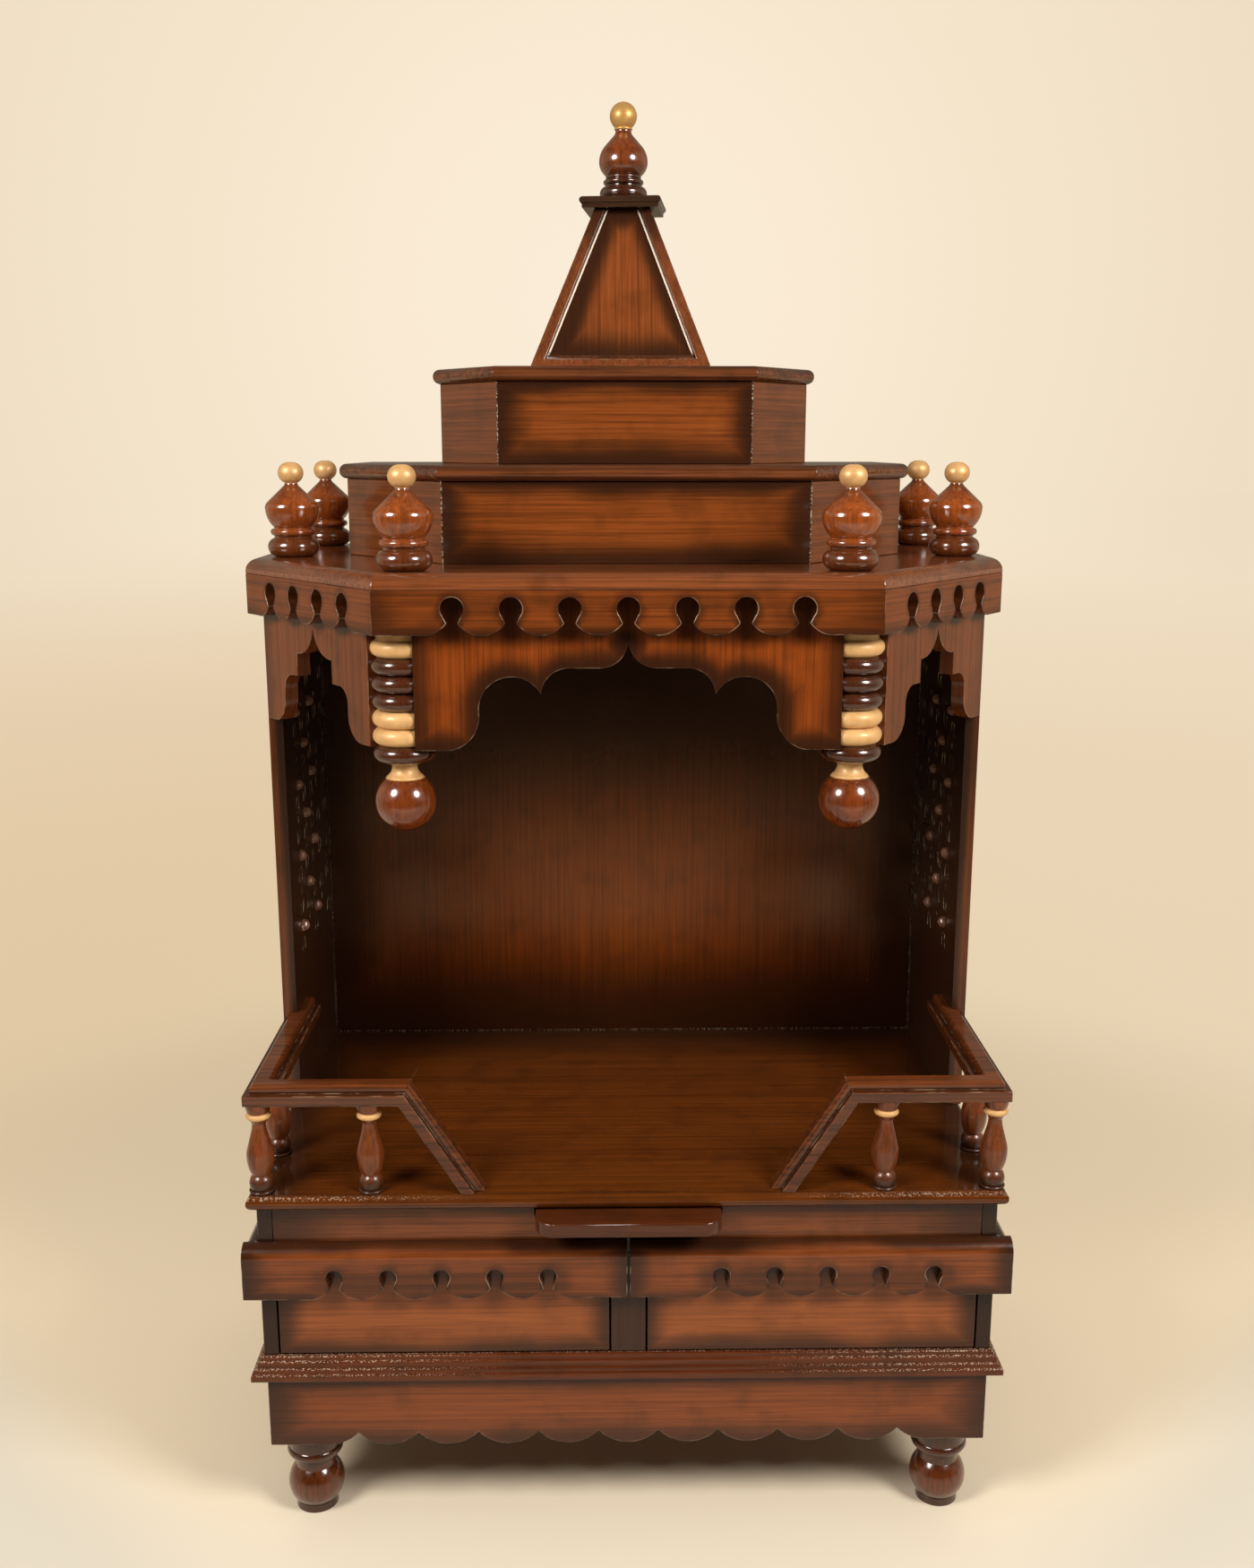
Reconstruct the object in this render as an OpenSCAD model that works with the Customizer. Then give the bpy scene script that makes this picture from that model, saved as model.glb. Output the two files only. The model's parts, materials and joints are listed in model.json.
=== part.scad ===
/* [Cabinet] */
// Width of the cabinet over its side boards
cabinet_w = 587; // [560:1:640]
// Depth from the front of the drawer fascias to the back
overall_d = 362; // [350:1:400]
// Thickness of the boards
board_t = 12; // [10:0.5:13]
// Height of the drawer bay
bay_h = 88.5; // [78:0.5:110]
// Height of the frieze over the drawers
frieze_h = 43; // [38:1:60]
// Width of the centre stile between the drawers
stile_w = 28; // [24:1:40]
// How far the shelf board stands out at each side
shelf_out = 5.5; // [4:0.5:12]

/* [Base] */
// Full height of the turned feet
foot_h = 133; // [125:1:170]
// Diameter of the balls of the feet
foot_ball_d = 46; // [40:1:48]
// Distance of the feet from the sides of the cabinet
foot_in = 32.5; // [30:0.5:60]
// Distance of the feet from the front and from the back
foot_inset = 37; // [34:1:60]
// Height of the scalloped skirt
skirt_h = 61; // [45:1:70]
// Distance of the skirt's ends from the sides of the cabinet
skirt_in = 2.5; // [0:0.5:8]
// Distance of the skirt behind the front
skirt_inset = 8; // [4:1:10]
// Width of a skirt scallop
skirt_pitch = 48.8; // [40:0.1:56]
// Depth of the skirt scallops
skirt_drop = 11; // [8:0.5:14]
// Thickness of the moulded base board
base_t = 18.5; // [16:0.5:26]
// How far the base moulding stands out at its foot
base_out = 9.5; // [8:0.5:11]
// Width of the strips under the edges of the base board
base_strip_w = 62; // [56:1:80]

/* [Drawers and tray] */
// Height of the drawer fascias
fascia_h = 45; // [40:0.5:52]
// How far the drawer fascias reach above the bay
fascia_up = 12; // [6:1:16]
// Thickness of the fascias along the sides of the cabinet
side_fascia_t = 11.5; // [9:0.5:13]
// Distance between keyholes of the drawer fascias
keyhole_pitch = 42.2; // [38:0.1:48]
// Sideways shift of the keyholes of the drawer fascias
keyhole_shift = 5; // [-8:1:8]
// Diameter of the keyholes of the drawer fascias
keyhole_d = 13.4; // [10:0.2:16]
// Running gap round the drawer fronts
front_gap = 1.3; // [1:0.1:3]
// Side clearance of the drawer boxes
box_gap = 5; // [5:0.5:12]
// Wall thickness of the drawer boxes
box_wall = 9; // [6:0.5:12]
// Thickness of the drawer bottoms
box_floor = 6; // [4:0.5:8]
// Width of the pull-out tray
tray_w = 146; // [100:1:200]
// Length of the pull-out tray
tray_l = 270; // [200:1:310]
// How far the tray stands out when it is in
tray_out = 22; // [10:1:40]
// Thickness of the tray
tray_t = 11.4; // [8:0.2:14]
// Corner radius of the tray
tray_r = 16; // [6:1:30]

/* [Shrine] */
// How far the shrine's side panels stand out over the cabinet's
shrine_out = 4.5; // [0:0.5:5]
// Height from the shelf to the canopy board
shrine_h = 470.5; // [430:0.5:560]
// Distance of the side panels behind the front
shrine_front = 166.4; // [150:0.2:180]
// Distance between the columns of the side panels' piercing
jali_pitch = 31; // [28:0.5:36]
// Height of the lowest row of piercing above the shelf
jali_low = 156; // [120:1:170]
// Rows of piercing, counted up a zigzag of two columns
jali_rows = 7; // [3:1:8]
// Height of the handrail above the shelf
rail_top = 90; // [70:1:120]
// Width of the handrail
rail_w = 25; // [20:1:28]
// Thickness of the handrail's moulding
rail_t = 15.5; // [13:0.5:20]
// Distance of the handrail behind the front
rail_lip = 3.5; // [2:0.5:8]
// Distance of the handrail's bend from its corner
rail_run = 128.4; // [100:0.2:150]
// Slope of the handrail's falling end
rail_slope = 57.4; // [50:0.2:65]
// How far the handrail runs on inside the side panel
rail_lap = 40; // [20:1:60]
// Distance between the two balusters in front
baluster_gap = 86; // [60:1:95]
// Distance of the side baluster behind the front
side_baluster_y = 80; // [60:1:110]

/* [Canopy] */
// Angle of the canopy's slanting sides to its front
slant = 51.4; // [48:0.1:54]
// Distance of the canopy's front behind the front of the cabinet
canopy_front = 18.6; // [18:0.2:30]
// Distance that the canopy board and fascias stand out
canopy_out = 12; // [10:0.5:14]
// Height of the canopy fascia
canopy_fascia_h = 33; // [30:1:40]
// Distance between keyholes of the canopy's front
canopy_pitch = 42.6; // [38:0.1:46]
// Distance between keyholes of the canopy's slanting sides
slant_pitch = 38.1; // [34:0.1:42]
// Diameter of the keyholes of the canopy
canopy_hole_d = 16.8; // [12:0.2:18]
// Distance of the front arch board's ends from the canopy's corners
arch_set = 21.5; // [20:0.5:26]
// Drop of the arch boards below the canopy board
arch_drop = 120; // [116:1:130]
// Distance of the pendants from the canopy's corners, to the side
pendant_set = 10.8; // [9:0.1:13]
// Distance of the pendants behind the canopy's front
pendant_in = 22.4; // [21:0.1:24]
// Diameter of the pendants' discs
disc_d = 46.5; // [42:0.5:48]
// Thickness of each disc of the pendants
disc_t = 13.3; // [12:0.1:14]

/* [Finials] */
// Diameter of the onion of each small finial
onion_d = 44; // [38:1:48]
// Diameter of the ball on each small finial
small_ball_d = 20.8; // [16:0.2:24]
// Distance of the front finials from the canopy's corners, to the side
finial_set = 15.5; // [10:0.5:30]
// Distance of the front finials behind the canopy's front
finial_in = 18.4; // [17:0.2:30]

/* [Tiers and spire] */
// Distance of the lower tier's corners from the canopy's, to the side
lower_corner = 37.5; // [30:0.5:50]
// Distance of the lower tier's sides from the shrine's sides
lower_side = 66; // [60:1:80]
// Distance of the lower tier behind the front
lower_front = 98; // [90:1:120]
// Height of the lower tier's boards
lower_h = 63; // [50:1:80]
// Distance of the upper tier's corners from the lower tier's, to the side
upper_corner = 38; // [30:0.5:50]
// Distance of the upper tier's sides from the lower tier's
upper_side = 75; // [60:1:80]
// Distance of the upper tier behind the front
upper_front = 190; // [180:1:200]
// Height of the upper tier's boards
upper_h = 66; // [50:1:80]
// How far the tier tops stand out
nosing = 6; // [4:0.5:8]
// Width of the spire's foot
spire_w = 148.5; // [120:0.5:160]
// Width of the spire's top
spire_top_w = 47; // [40:1:60]
// Height of the spire
spire_h = 130; // [100:1:180]
// Turn of the spire on its tier, in degrees, right side to the front
spire_turn = 2.8; // [0:0.2:6]
// Width of the spire's frame
spire_frame_w = 9.6; // [6:0.2:12]
// Width of the cap plate
cap_w = 68; // [60:1:80]
// Turn of the cap plate
cap_turn = 6; // [0:1:10]
// Thickness of the cap plate
cap_t = 9; // [8:1:14]

/* [Hidden] */
$fn = 48;

// Wood and gilding
wood = [0.46, 0.24, 0.11];
dark_wood = [0.34, 0.17, 0.08];
drawer_wood = [0.52, 0.28, 0.13];

// A gap between parts that slide past each other
run_gap = 0.3;
// Room that a cut needs past the face it goes through
past = 1;

// Heights of the levels, from the floor up
base_z = foot_h;
bay_z = base_z + base_t;
frieze_z = bay_z + bay_h;
shelf_z = frieze_z + frieze_h;
floor_z = shelf_z + board_t;
canopy_z = floor_z + shrine_h;
lower_z = canopy_z + board_t;
lower_top_z = lower_z + lower_h;
upper_z = lower_top_z + board_t;
upper_top_z = upper_z + upper_h;
spire_z = upper_top_z + board_t;
cap_z = spire_z + spire_h;

// Depths, measured back from the front of the drawer fascias
carcass_y = board_t + run_gap;
back_y = overall_d - board_t;

// Widths
skirt_w = cabinet_w - 2 * skirt_in;
shelf_w = cabinet_w + 2 * shelf_out;
fascia_w = cabinet_w + 2 * side_fascia_t;
bay_x = cabinet_w / 2 - board_t;
shrine_w = cabinet_w + 2 * shrine_out;

// The canopy's front corner, and the length of its slanting side
canopy_x = shrine_w / 2 - (shrine_front - canopy_front) / tan(slant);
slant_len = (shrine_front - canopy_front) / sin(slant);
arch_x = canopy_x - arch_set;
pendant_x = canopy_x - pendant_set;
slant_arch_start = 22.6;
pendant_z = canopy_z - 185.5;

// Half widths of the tiers at their fronts and at their sides
lower_tier = [canopy_x - lower_corner, shrine_w / 2 - lower_side];
upper_tier = [lower_tier[0] - upper_corner, lower_tier[1] - upper_side];

// The drawers in the bay
front_x0 = stile_w / 2 + front_gap;
front_x1 = bay_x - front_gap;
fascia_z = frieze_z + fascia_up - fascia_h;
tray_space_h = tray_t + 3 * run_gap;
dust_z = shelf_z - tray_space_h - board_t;

// The pieces are drawn with y = 0 at the front of the drawer fascias,
// and set so that the origin is under the middle of the whole
module set_down() {
    translate([0, (tray_out - overall_d) / 2, 0]) children();
}

module both_sides() {
    children();
    mirror([1, 0, 0]) children();
}

// Stands a flat outline, drawn in width and height, on the plane y = 0, with its
// thickness going back
module upright(t) {
    translate([0, t, 0]) rotate([90, 0, 0]) linear_extrude(t) children();
}

// ---- Plans with slanting front corners ----

// Corners of a plan with half widths a in front and b behind, set out by off
function plan_points(a, b, y0, y1, off) = [
    [a + off * tan(slant / 2), y0 - off],
    [b + off, y0 + (b - a) * tan(slant) - off * tan(45 - slant / 2)],
    [b + off, y1]];

module plan(a, b, y0, y1, off = 0) {
    right = plan_points(a, b, y0, y1, off);
    left = [for (i = [2:-1:0]) [-right[i][0], right[i][1]]];
    polygon(concat(right, left));
}

// Outward direction and distance of each side of such a plan but the back
function plan_sides(a, b, y0) = [
    [-90, -y0],
    [slant - 90, a * sin(slant) - y0 * cos(slant)],
    [270 - slant, a * sin(slant) - y0 * cos(slant)],
    [0, b],
    [180, b]];

// A board on such a plan with its shaped edge, given as a flat outline that has the
// plan's line at x = 0, mitred round the front and the sides
module moulded_board(sides, y1, t) {
    reach = 1500;
    intersection() {
        translate([-reach / 2, y1 - reach, 0]) cube([reach, reach, t]);
        intersection_for (side = sides)
            rotate([0, 0, side[0]]) translate([side[1], 0, 0]) rotate([90, 0, 0])
                linear_extrude(reach, center = true) children();
    }
}

// Edge outlines for moulded boards: half round, and with a rounded top
module half_round(t, out) {
    translate([-900, 0]) square([900 + out - t / 2, t]);
    translate([out - t / 2, t / 2]) circle(t / 2);
}

module round_top(t, out, r) {
    translate([-900, 0]) square([900 + out - r, t]);
    translate([-900, 0]) square([900 + out, t - r]);
    translate([out - r, t - r]) circle(r);
}

// ---- Scalloped boards ----

// How many scallops or keyholes fit a length, leaving plain ends
function cells(len, pitch, ends) = floor((len - ends) / pitch);

// A strip with a scalloped lower edge
module scalloped(len, h, count, pitch, drop, shift = 0, throat = 0) {
    lap = 0.2;
    half = (pitch - throat) / 2 + lap;
    r = (half * half + drop * drop) / (2 * drop);
    reach = count * pitch / 2;
    translate([-len / 2, drop]) square([len, h - drop]);
    intersection() {
        for (i = [0:count]) translate([shift - reach + i * pitch, r]) circle(r);
        translate([-len / 2, -past]) square([len, drop + 2 * past]);
    }
    translate([-len / 2, lap]) square([len / 2 + shift - reach, drop]);
    translate([shift + reach, lap]) square([len / 2 - shift - reach, drop]);
}

// A scalloped strip with a keyhole over the throat between each two scallops: a round
// hole that narrows down to the throat
module keyholed(len, h, ends, pitch, drop, hole_d, hole_z, throat, shift = 0) {
    count = cells(len, pitch, ends);
    side = 25;
    r = hole_d / 2 - 0.3;
    difference() {
        scalloped(len, h, count, pitch, drop, shift, throat);
        for (i = [0:count - 1])
            translate([shift + (i - (count - 1) / 2) * pitch, 0]) {
                translate([-throat / 2, -past]) square([throat, hole_z]);
                translate([0, hole_z]) circle(hole_d / 2);
                polygon([
                    [-throat / 2, drop - past],
                    [throat / 2, drop - past],
                    [r * cos(side), hole_z - r * sin(side)],
                    [-r * cos(side), hole_z - r * sin(side)]]);
            }
    }
}

// ---- Turned work: half outlines built of arcs, spun about the axis ----

module turned() {
    rotate_extrude() intersection() {
        union() children();
        square(1000);
    }
}

// A plain length, or a cone
module shaft(r0, z0, r1, z1) {
    polygon([[0, z0], [r0, z0], [r1, z1], [0, z1]]);
}

// A ring with a full round edge
module ring(r, z0, z1) {
    edge = (z1 - z0) / 2;
    translate([0, z0]) square([r - edge, z1 - z0]);
    translate([r - edge, z0 + edge]) circle(edge);
}

// An arc that stands upright at its widest, (r, z), and ends at (end_r, end_z)
module swell(r, z, end_r, end_z) {
    big = ((r - end_r) * (r - end_r) + (z - end_z) * (z - end_z)) / (2 * (r - end_r));
    intersection() {
        translate([r - big, z]) circle(big);
        translate([0, min(z, end_z)]) square([r + past, abs(end_z - z)]);
    }
}

// A shoulder that leaves its widest, (r, z), on an arc no larger than round, and sweeps
// in to a neck at (neck_r, neck_z) on a hollow
module shoulder(r, z, round, neck_r, neck_z, hollow) {
    dz = neck_z - z;
    in = neck_r + hollow - r;
    arc = min(round, (in * in + dz * dz - hollow * hollow) / (2 * (r - neck_r)));
    reach = norm([in + arc, dz]);
    lean = atan2(dz, in + arc) - acos(min(1, (arc + hollow) / reach));
    difference() {
        union() {
            intersection() {
                translate([r - arc, z]) circle(arc);
                translate([0, z]) square(arc + r);
            }
            polygon([
                [0, z],
                [max(0.01, r - arc), z],
                [r - arc + arc * cos(lean), z + arc * sin(lean)],
                [neck_r + hollow * (1 - cos(lean)), neck_z - hollow * sin(lean)],
                [neck_r + hollow * (1 - cos(lean)), neck_z],
                [0, neck_z]]);
        }
        translate([neck_r + hollow, neck_z]) circle(hollow);
    }
}

module ball(r, z) {
    translate([0, z]) circle(r);
}

// ---- Base ----

module foot() {
    pad_r = 17.2;
    ball_z = 22;
    neck_r = 16.5;
    collar_z = 48.4;
    collar_top = 58;
    drum_top = 70;
    post_r = 16;
    turned() {
        shaft(pad_r, 0, pad_r - 0.4, 6);
        ball(foot_ball_d / 2, ball_z);
        shaft(neck_r, ball_z, neck_r, collar_z + 1);
        ring(neck_r + 1.3, collar_z - 3.4, collar_z + 0.2);
        ring(foot_ball_d / 2, collar_z, collar_top);
        shaft(foot_ball_d / 2 - 1.4, collar_top - 1, foot_ball_d / 2 - 1.4, drum_top);
        shaft(post_r, drum_top - 1, post_r, foot_h);
    }
}

module feet(y) {
    color(dark_wood) set_down() both_sides()
        translate([cabinet_w / 2 - foot_in, y, 0]) difference() {
            foot();
            translate([-foot_ball_d, -foot_ball_d, -foot_ball_d])
                cube([2 * foot_ball_d, 2 * foot_ball_d, foot_ball_d]);
        }
}

module skirt_front() {
    color(wood) set_down() translate([0, skirt_inset, base_z - skirt_h])
        upright(board_t)
            scalloped(skirt_w, skirt_h, cells(skirt_w, skirt_pitch, 90), skirt_pitch, skirt_drop);
}

module skirt_sides() {
    y0 = skirt_inset + board_t;
    len = back_y - y0;
    color(wood) set_down() both_sides()
        translate([skirt_w / 2 - board_t, y0 + len / 2, base_z - skirt_h])
            rotate([0, 0, 90]) translate([0, -board_t, 0]) upright(board_t)
                scalloped(len, skirt_h, cells(len, skirt_pitch, 70), skirt_pitch, skirt_drop);
}

module skirt_back() {
    color(dark_wood) set_down()
        translate([-skirt_w / 2, back_y, base_z - skirt_h + skirt_drop])
            cube([skirt_w, board_t, skirt_h - skirt_drop]);
}

// Stepped edge with a rounded nose on each step, widest at the foot
module base_edge() {
    nose = 1.2;
    tread = base_out / 4.1;
    steps = [[0, 0.31], [1, 0.51], [2, 0.8], [3, 1]];
    for (s = steps) {
        out = base_out - s[0] * tread;
        h = s[1] * base_t;
        translate([-900, 0]) square([900 + out, h - nose]);
        translate([-900, 0]) square([900 + out - nose, h]);
        translate([out - nose, h - nose]) circle(nose);
    }
}

// The board under the drawers, with a moulded strip under each edge
module base_board() {
    x = cabinet_w / 2 - base_strip_w;
    color(wood) set_down() translate([0, 0, base_z]) difference() {
        moulded_board([[-90, -board_t], [0, cabinet_w / 2], [180, cabinet_w / 2]],
            overall_d, base_t) base_edge();
        translate([-x, base_strip_w, -past])
            cube([2 * x, overall_d - 2 * base_strip_w, base_t - board_t + past]);
    }
}

// ---- Cabinet ----

module cabinet_side() {
    translate([bay_x, carcass_y, bay_z])
        cube([board_t, overall_d - carcass_y, bay_h + frieze_h]);
}

module cabinet_left() {
    color(wood) set_down() mirror([1, 0, 0]) cabinet_side();
}

module cabinet_right() {
    color(wood) set_down() cabinet_side();
}

module cabinet_back() {
    color(dark_wood) set_down() translate([-bay_x, back_y, bay_z])
        cube([2 * bay_x, board_t, bay_h + frieze_h]);
}

module centre_divider() {
    color(wood) set_down() {
        translate([-stile_w / 2, carcass_y, bay_z]) cube([stile_w, board_t, bay_h]);
        translate([-board_t / 2, carcass_y + board_t, bay_z])
            cube([board_t, back_y - carcass_y - board_t, dust_z - bay_z]);
    }
}

// The board over the drawers, with the two strips that guide the tray
module dust_board() {
    y0 = carcass_y + board_t;
    len = back_y - y0;
    color(dark_wood) set_down() {
        translate([-bay_x, y0, dust_z]) cube([2 * bay_x, len, board_t]);
        both_sides() translate([tray_w / 2 + 1, y0, dust_z + board_t])
            cube([board_t, len, shelf_z - dust_z - board_t]);
    }
}

module frieze() {
    slot_w = tray_w + 2;
    color(wood) set_down() difference() {
        translate([-bay_x, carcass_y, frieze_z]) cube([2 * bay_x, board_t, frieze_h]);
        translate([-slot_w / 2, carcass_y - past, dust_z + board_t])
            cube([slot_w, board_t + 2 * past, shelf_z - dust_z]);
    }
}

// Keyholes of the drawer fascias and of the fascias along the sides
module cabinet_keyholes(len, ends, shift = 0) {
    keyholed(len, fascia_h, ends, keyhole_pitch, 9, keyhole_d, 18.5, 6.5, shift);
}

module side_fascias() {
    y0 = board_t + run_gap;
    len = overall_d - y0;
    color(wood) set_down() both_sides() translate([cabinet_w / 2, 0, fascia_z]) intersection() {
        translate([0, y0 + len / 2, 0]) rotate([0, 0, 90])
            translate([0, -side_fascia_t, 0]) upright(side_fascia_t) cabinet_keyholes(len, 10);
        translate([0, overall_d, 0]) rotate([90, 0, 0]) linear_extrude(overall_d)
            round_top(fascia_h, side_fascia_t, side_fascia_t - 0.5);
    }
}

// ---- Drawers and tray ----

module drawer_front() {
    translate([front_x0, carcass_y - run_gap, bay_z + front_gap])
        cube([front_x1 - front_x0, board_t, bay_h - 2 * front_gap]);
}

// The fascia of a drawer, drawn about its middle
module drawer_fascia() {
    len = fascia_w / 2 - 1;
    intersection() {
        upright(board_t) cabinet_keyholes(len, 84, keyhole_shift);
        translate([-len / 2, board_t, 0]) rotate([90, 0, -90]) mirror([0, 0, 1])
            linear_extrude(len) round_top(fascia_h, board_t, board_t - 0.5);
    }
}

module drawer_box() {
    x0 = stile_w / 2 + box_gap;
    x1 = bay_x - box_gap;
    y0 = carcass_y - run_gap + board_t;
    len = back_y - box_gap - y0;
    h = bay_h - 9;
    translate([x0, y0, bay_z + run_gap]) difference() {
        cube([x1 - x0, len, h]);
        translate([box_wall, box_wall, box_floor])
            cube([x1 - x0 - 2 * box_wall, len - 2 * box_wall, h]);
    }
}

module drawer_left_front() {
    color(drawer_wood) set_down() mirror([1, 0, 0]) drawer_front();
}

module drawer_right_front() {
    color(drawer_wood) set_down() drawer_front();
}

module drawer_left_fascia() {
    color(drawer_wood) set_down()
        translate([-fascia_w / 4 - 0.5, 0, fascia_z]) drawer_fascia();
}

module drawer_right_fascia() {
    color(drawer_wood) set_down()
        translate([fascia_w / 4 + 0.5, 0, fascia_z]) drawer_fascia();
}

module drawer_left_box() {
    color(dark_wood) set_down() mirror([1, 0, 0]) drawer_box();
}

module drawer_right_box() {
    color(dark_wood) set_down() drawer_box();
}

module tray() {
    half = tray_w / 2;
    color(wood) set_down()
        translate([0, -tray_out, dust_z + board_t + run_gap]) linear_extrude(tray_t) {
            translate([-half, tray_r]) square([tray_w, tray_l - tray_r]);
            translate([-half + tray_r, 0]) square([tray_w - 2 * tray_r, tray_r]);
            both_sides() translate([half - tray_r, tray_r]) circle(tray_r);
        }
}

// ---- Shrine ----

module shelf_board() {
    color(wood) set_down() translate([0, 0, shelf_z])
        moulded_board([[-90, 0], [0, shelf_w / 2], [180, shelf_w / 2]],
            overall_d, board_t) half_round(board_t, 0);
}

// A slim leaf with a point at each end, drawn upright
module leaf(len, w) {
    r = (len * len + w * w) / (4 * w);
    intersection_for (side = [-1, 1]) translate([side * (r - w / 2), 0]) circle(r);
}

// The piercing round one rosette: a pair of leaves above it and a pair below
module leaf_pairs() {
    for (up = [-1, 1], side = [-1, 1])
        translate([side * 5, up * 17]) rotate(-up * side * 14) leaf(13, 4.4);
}

// A side panel, pierced in rows and columns of leaves with a round hole between
module side_panel() {
    len = overall_d - shrine_front;
    first = 43;
    columns = cells(back_y - shrine_front, jali_pitch, first - 15);
    translate([shrine_w / 2 - board_t, shrine_front, floor_z]) rotate([90, 0, 90])
        linear_extrude(board_t) difference() {
            square([len, shrine_h]);
            for (c = [0:columns - 1], r = [0:jali_rows - 1])
                translate([first + c * jali_pitch, jali_low + r * (jali_pitch + 1)])
                    if ((c + r) % 2 == 0) leaf_pairs();
                    else circle(2.8);
        }
}

module side_panel_left() {
    color(wood) set_down() mirror([1, 0, 0]) side_panel();
}

module side_panel_right() {
    color(wood) set_down() side_panel();
}

module back_panel() {
    half = shrine_w / 2 - board_t;
    color(wood) set_down() translate([-half, back_y, floor_z])
        cube([2 * half, board_t, shrine_h]);
}

// The handrail's moulding: a flat strip with a rounded bar on it
module rail_section() {
    ledge = 5;
    bar_h = 6.8;
    r = 3.2;
    square([rail_w, rail_t - bar_h]);
    translate([ledge, 0]) square([rail_w - 2 * ledge, rail_t - r]);
    translate([ledge + r, 0]) square([rail_w - 2 * ledge - 2 * r, rail_t]);
    for (x = [ledge + r, rail_w - ledge - r]) translate([x, rail_t - r]) circle(r);
}

// All that lies on one side of an upright plane through the origin
module beyond(side) {
    big = 600;
    translate([side * big, 0, 0]) cube(2 * big, center = true);
}

// A handrail, mitred at its corner and at its bend: a front part, a falling end, and a
// side part that laps the inside of the side panel
module handrail() {
    end_x = shrine_w / 2;
    low = rail_top - rail_t;
    bend = [end_x - rail_run, 0, rail_top];
    lap = 0.02;
    side_len = shrine_front + rail_lap - rail_lip;
    translate([0, rail_lip, floor_z]) difference() {
        union() {
            intersection() {
                translate([0, 0, low]) rotate([90, 0, 90]) linear_extrude(end_x) rail_section();
                translate([end_x, 0, 0]) rotate([0, 0, 45]) beyond(-1);
                translate(bend) rotate([0, -rail_slope / 2, 0]) beyond(1);
            }
            intersection() {
                translate(bend) rotate([0, -rail_slope, 0]) translate([-end_x, 0, -rail_t])
                    rotate([90, 0, 90]) linear_extrude(2 * end_x) rail_section();
                translate(bend) rotate([0, -rail_slope / 2, 0]) translate([lap, 0, 0]) beyond(-1);
                translate([0, 0, end_x]) cube(2 * end_x, center = true);
            }
            intersection() {
                translate([end_x, 0, low]) rotate([90, 0, 180]) linear_extrude(side_len)
                    rail_section();
                translate([end_x, 0, 0]) rotate([0, 0, 45]) beyond(1);
            }
        }
        translate([end_x - board_t, shrine_front - rail_lip, 0])
            cube([board_t + past, 2 * rail_lap, 2 * rail_top]);
    }
}

module rail_left() {
    color(wood) set_down() mirror([1, 0, 0]) handrail();
}

module rail_right() {
    color(wood) set_down() handrail();
}

module baluster() {
    h = rail_top - rail_t;
    ring_z = h - 13;
    vase_z = 30;
    turned() {
        ring(10, 0, 2.4);
        ball(9.6, 7.4);
        shaft(6.6, 7.4, 6.6, 15.2);
        swell(10.7, vase_z, 7.4, 15);
        shoulder(10.7, vase_z, 26, 5.3, ring_z - 3.5, 34);
        shaft(5.3, ring_z - 4, 7.5, ring_z);
        ring(9.7, ring_z, ring_z + 4.8);
        swell(10, h, 8, ring_z + 4.4);
    }
}

module balusters() {
    in = 10;
    x = shrine_w / 2 - in;
    y = rail_lip + in;
    for (place = [[x, y], [x - baluster_gap, y], [x, side_baluster_y]])
        translate([place[0], place[1], floor_z]) intersection() {
            baluster();
            cylinder(r = 2 * rail_w, h = rail_top - rail_t);
        }
}

module balusters_left() {
    color(dark_wood) set_down() mirror([1, 0, 0]) balusters();
}

module balusters_right() {
    color(dark_wood) set_down() balusters();
}

// ---- Canopy ----

// The opening under the front arch, from its middle out: an ogee point, a flat with a
// round shoulder, a cusp and a round lobe; heights are from the board's lower edge
module front_arch_opening() {
    point_h = arch_drop - 41;
    flat_h = arch_drop - 58.5;
    point_r = 21;
    flat_x = 44;
    shoulder_r = 20.4;
    lobe_x = 86.2;
    lobe_r = 24.4;
    lobe_h = arch_drop - 89.3;
    foot_r = 26;
    side_x = 110.4;
    // under the point
    difference() {
        translate([0, -past]) square([point_r, point_h + past]);
        translate([point_r, flat_h + point_r]) circle(point_r);
    }
    // the flat and its shoulder, down to the cusp
    translate([0, -past]) square([flat_x, flat_h + past]);
    translate([flat_x, flat_h - shoulder_r]) circle(shoulder_r);
    translate([0, -past]) square([flat_x + shoulder_r, flat_h - shoulder_r + past]);
    // the lobe beyond the cusp
    translate([lobe_x, lobe_h]) circle(lobe_r);
    translate([0, -past]) square([side_x, lobe_h + past]);
    // the rounded foot of the board
    difference() {
        translate([side_x - past, -past]) square([foot_r + past, foot_r + past]);
        translate([side_x + foot_r, foot_r - 0.2]) circle(foot_r);
    }
}

module arch_front() {
    color(wood) set_down() translate([0, canopy_front, canopy_z - arch_drop])
        upright(board_t) difference() {
            translate([-arch_x, 0]) square([2 * arch_x, arch_drop]);
            both_sides() front_arch_opening();
        }
}

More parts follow.
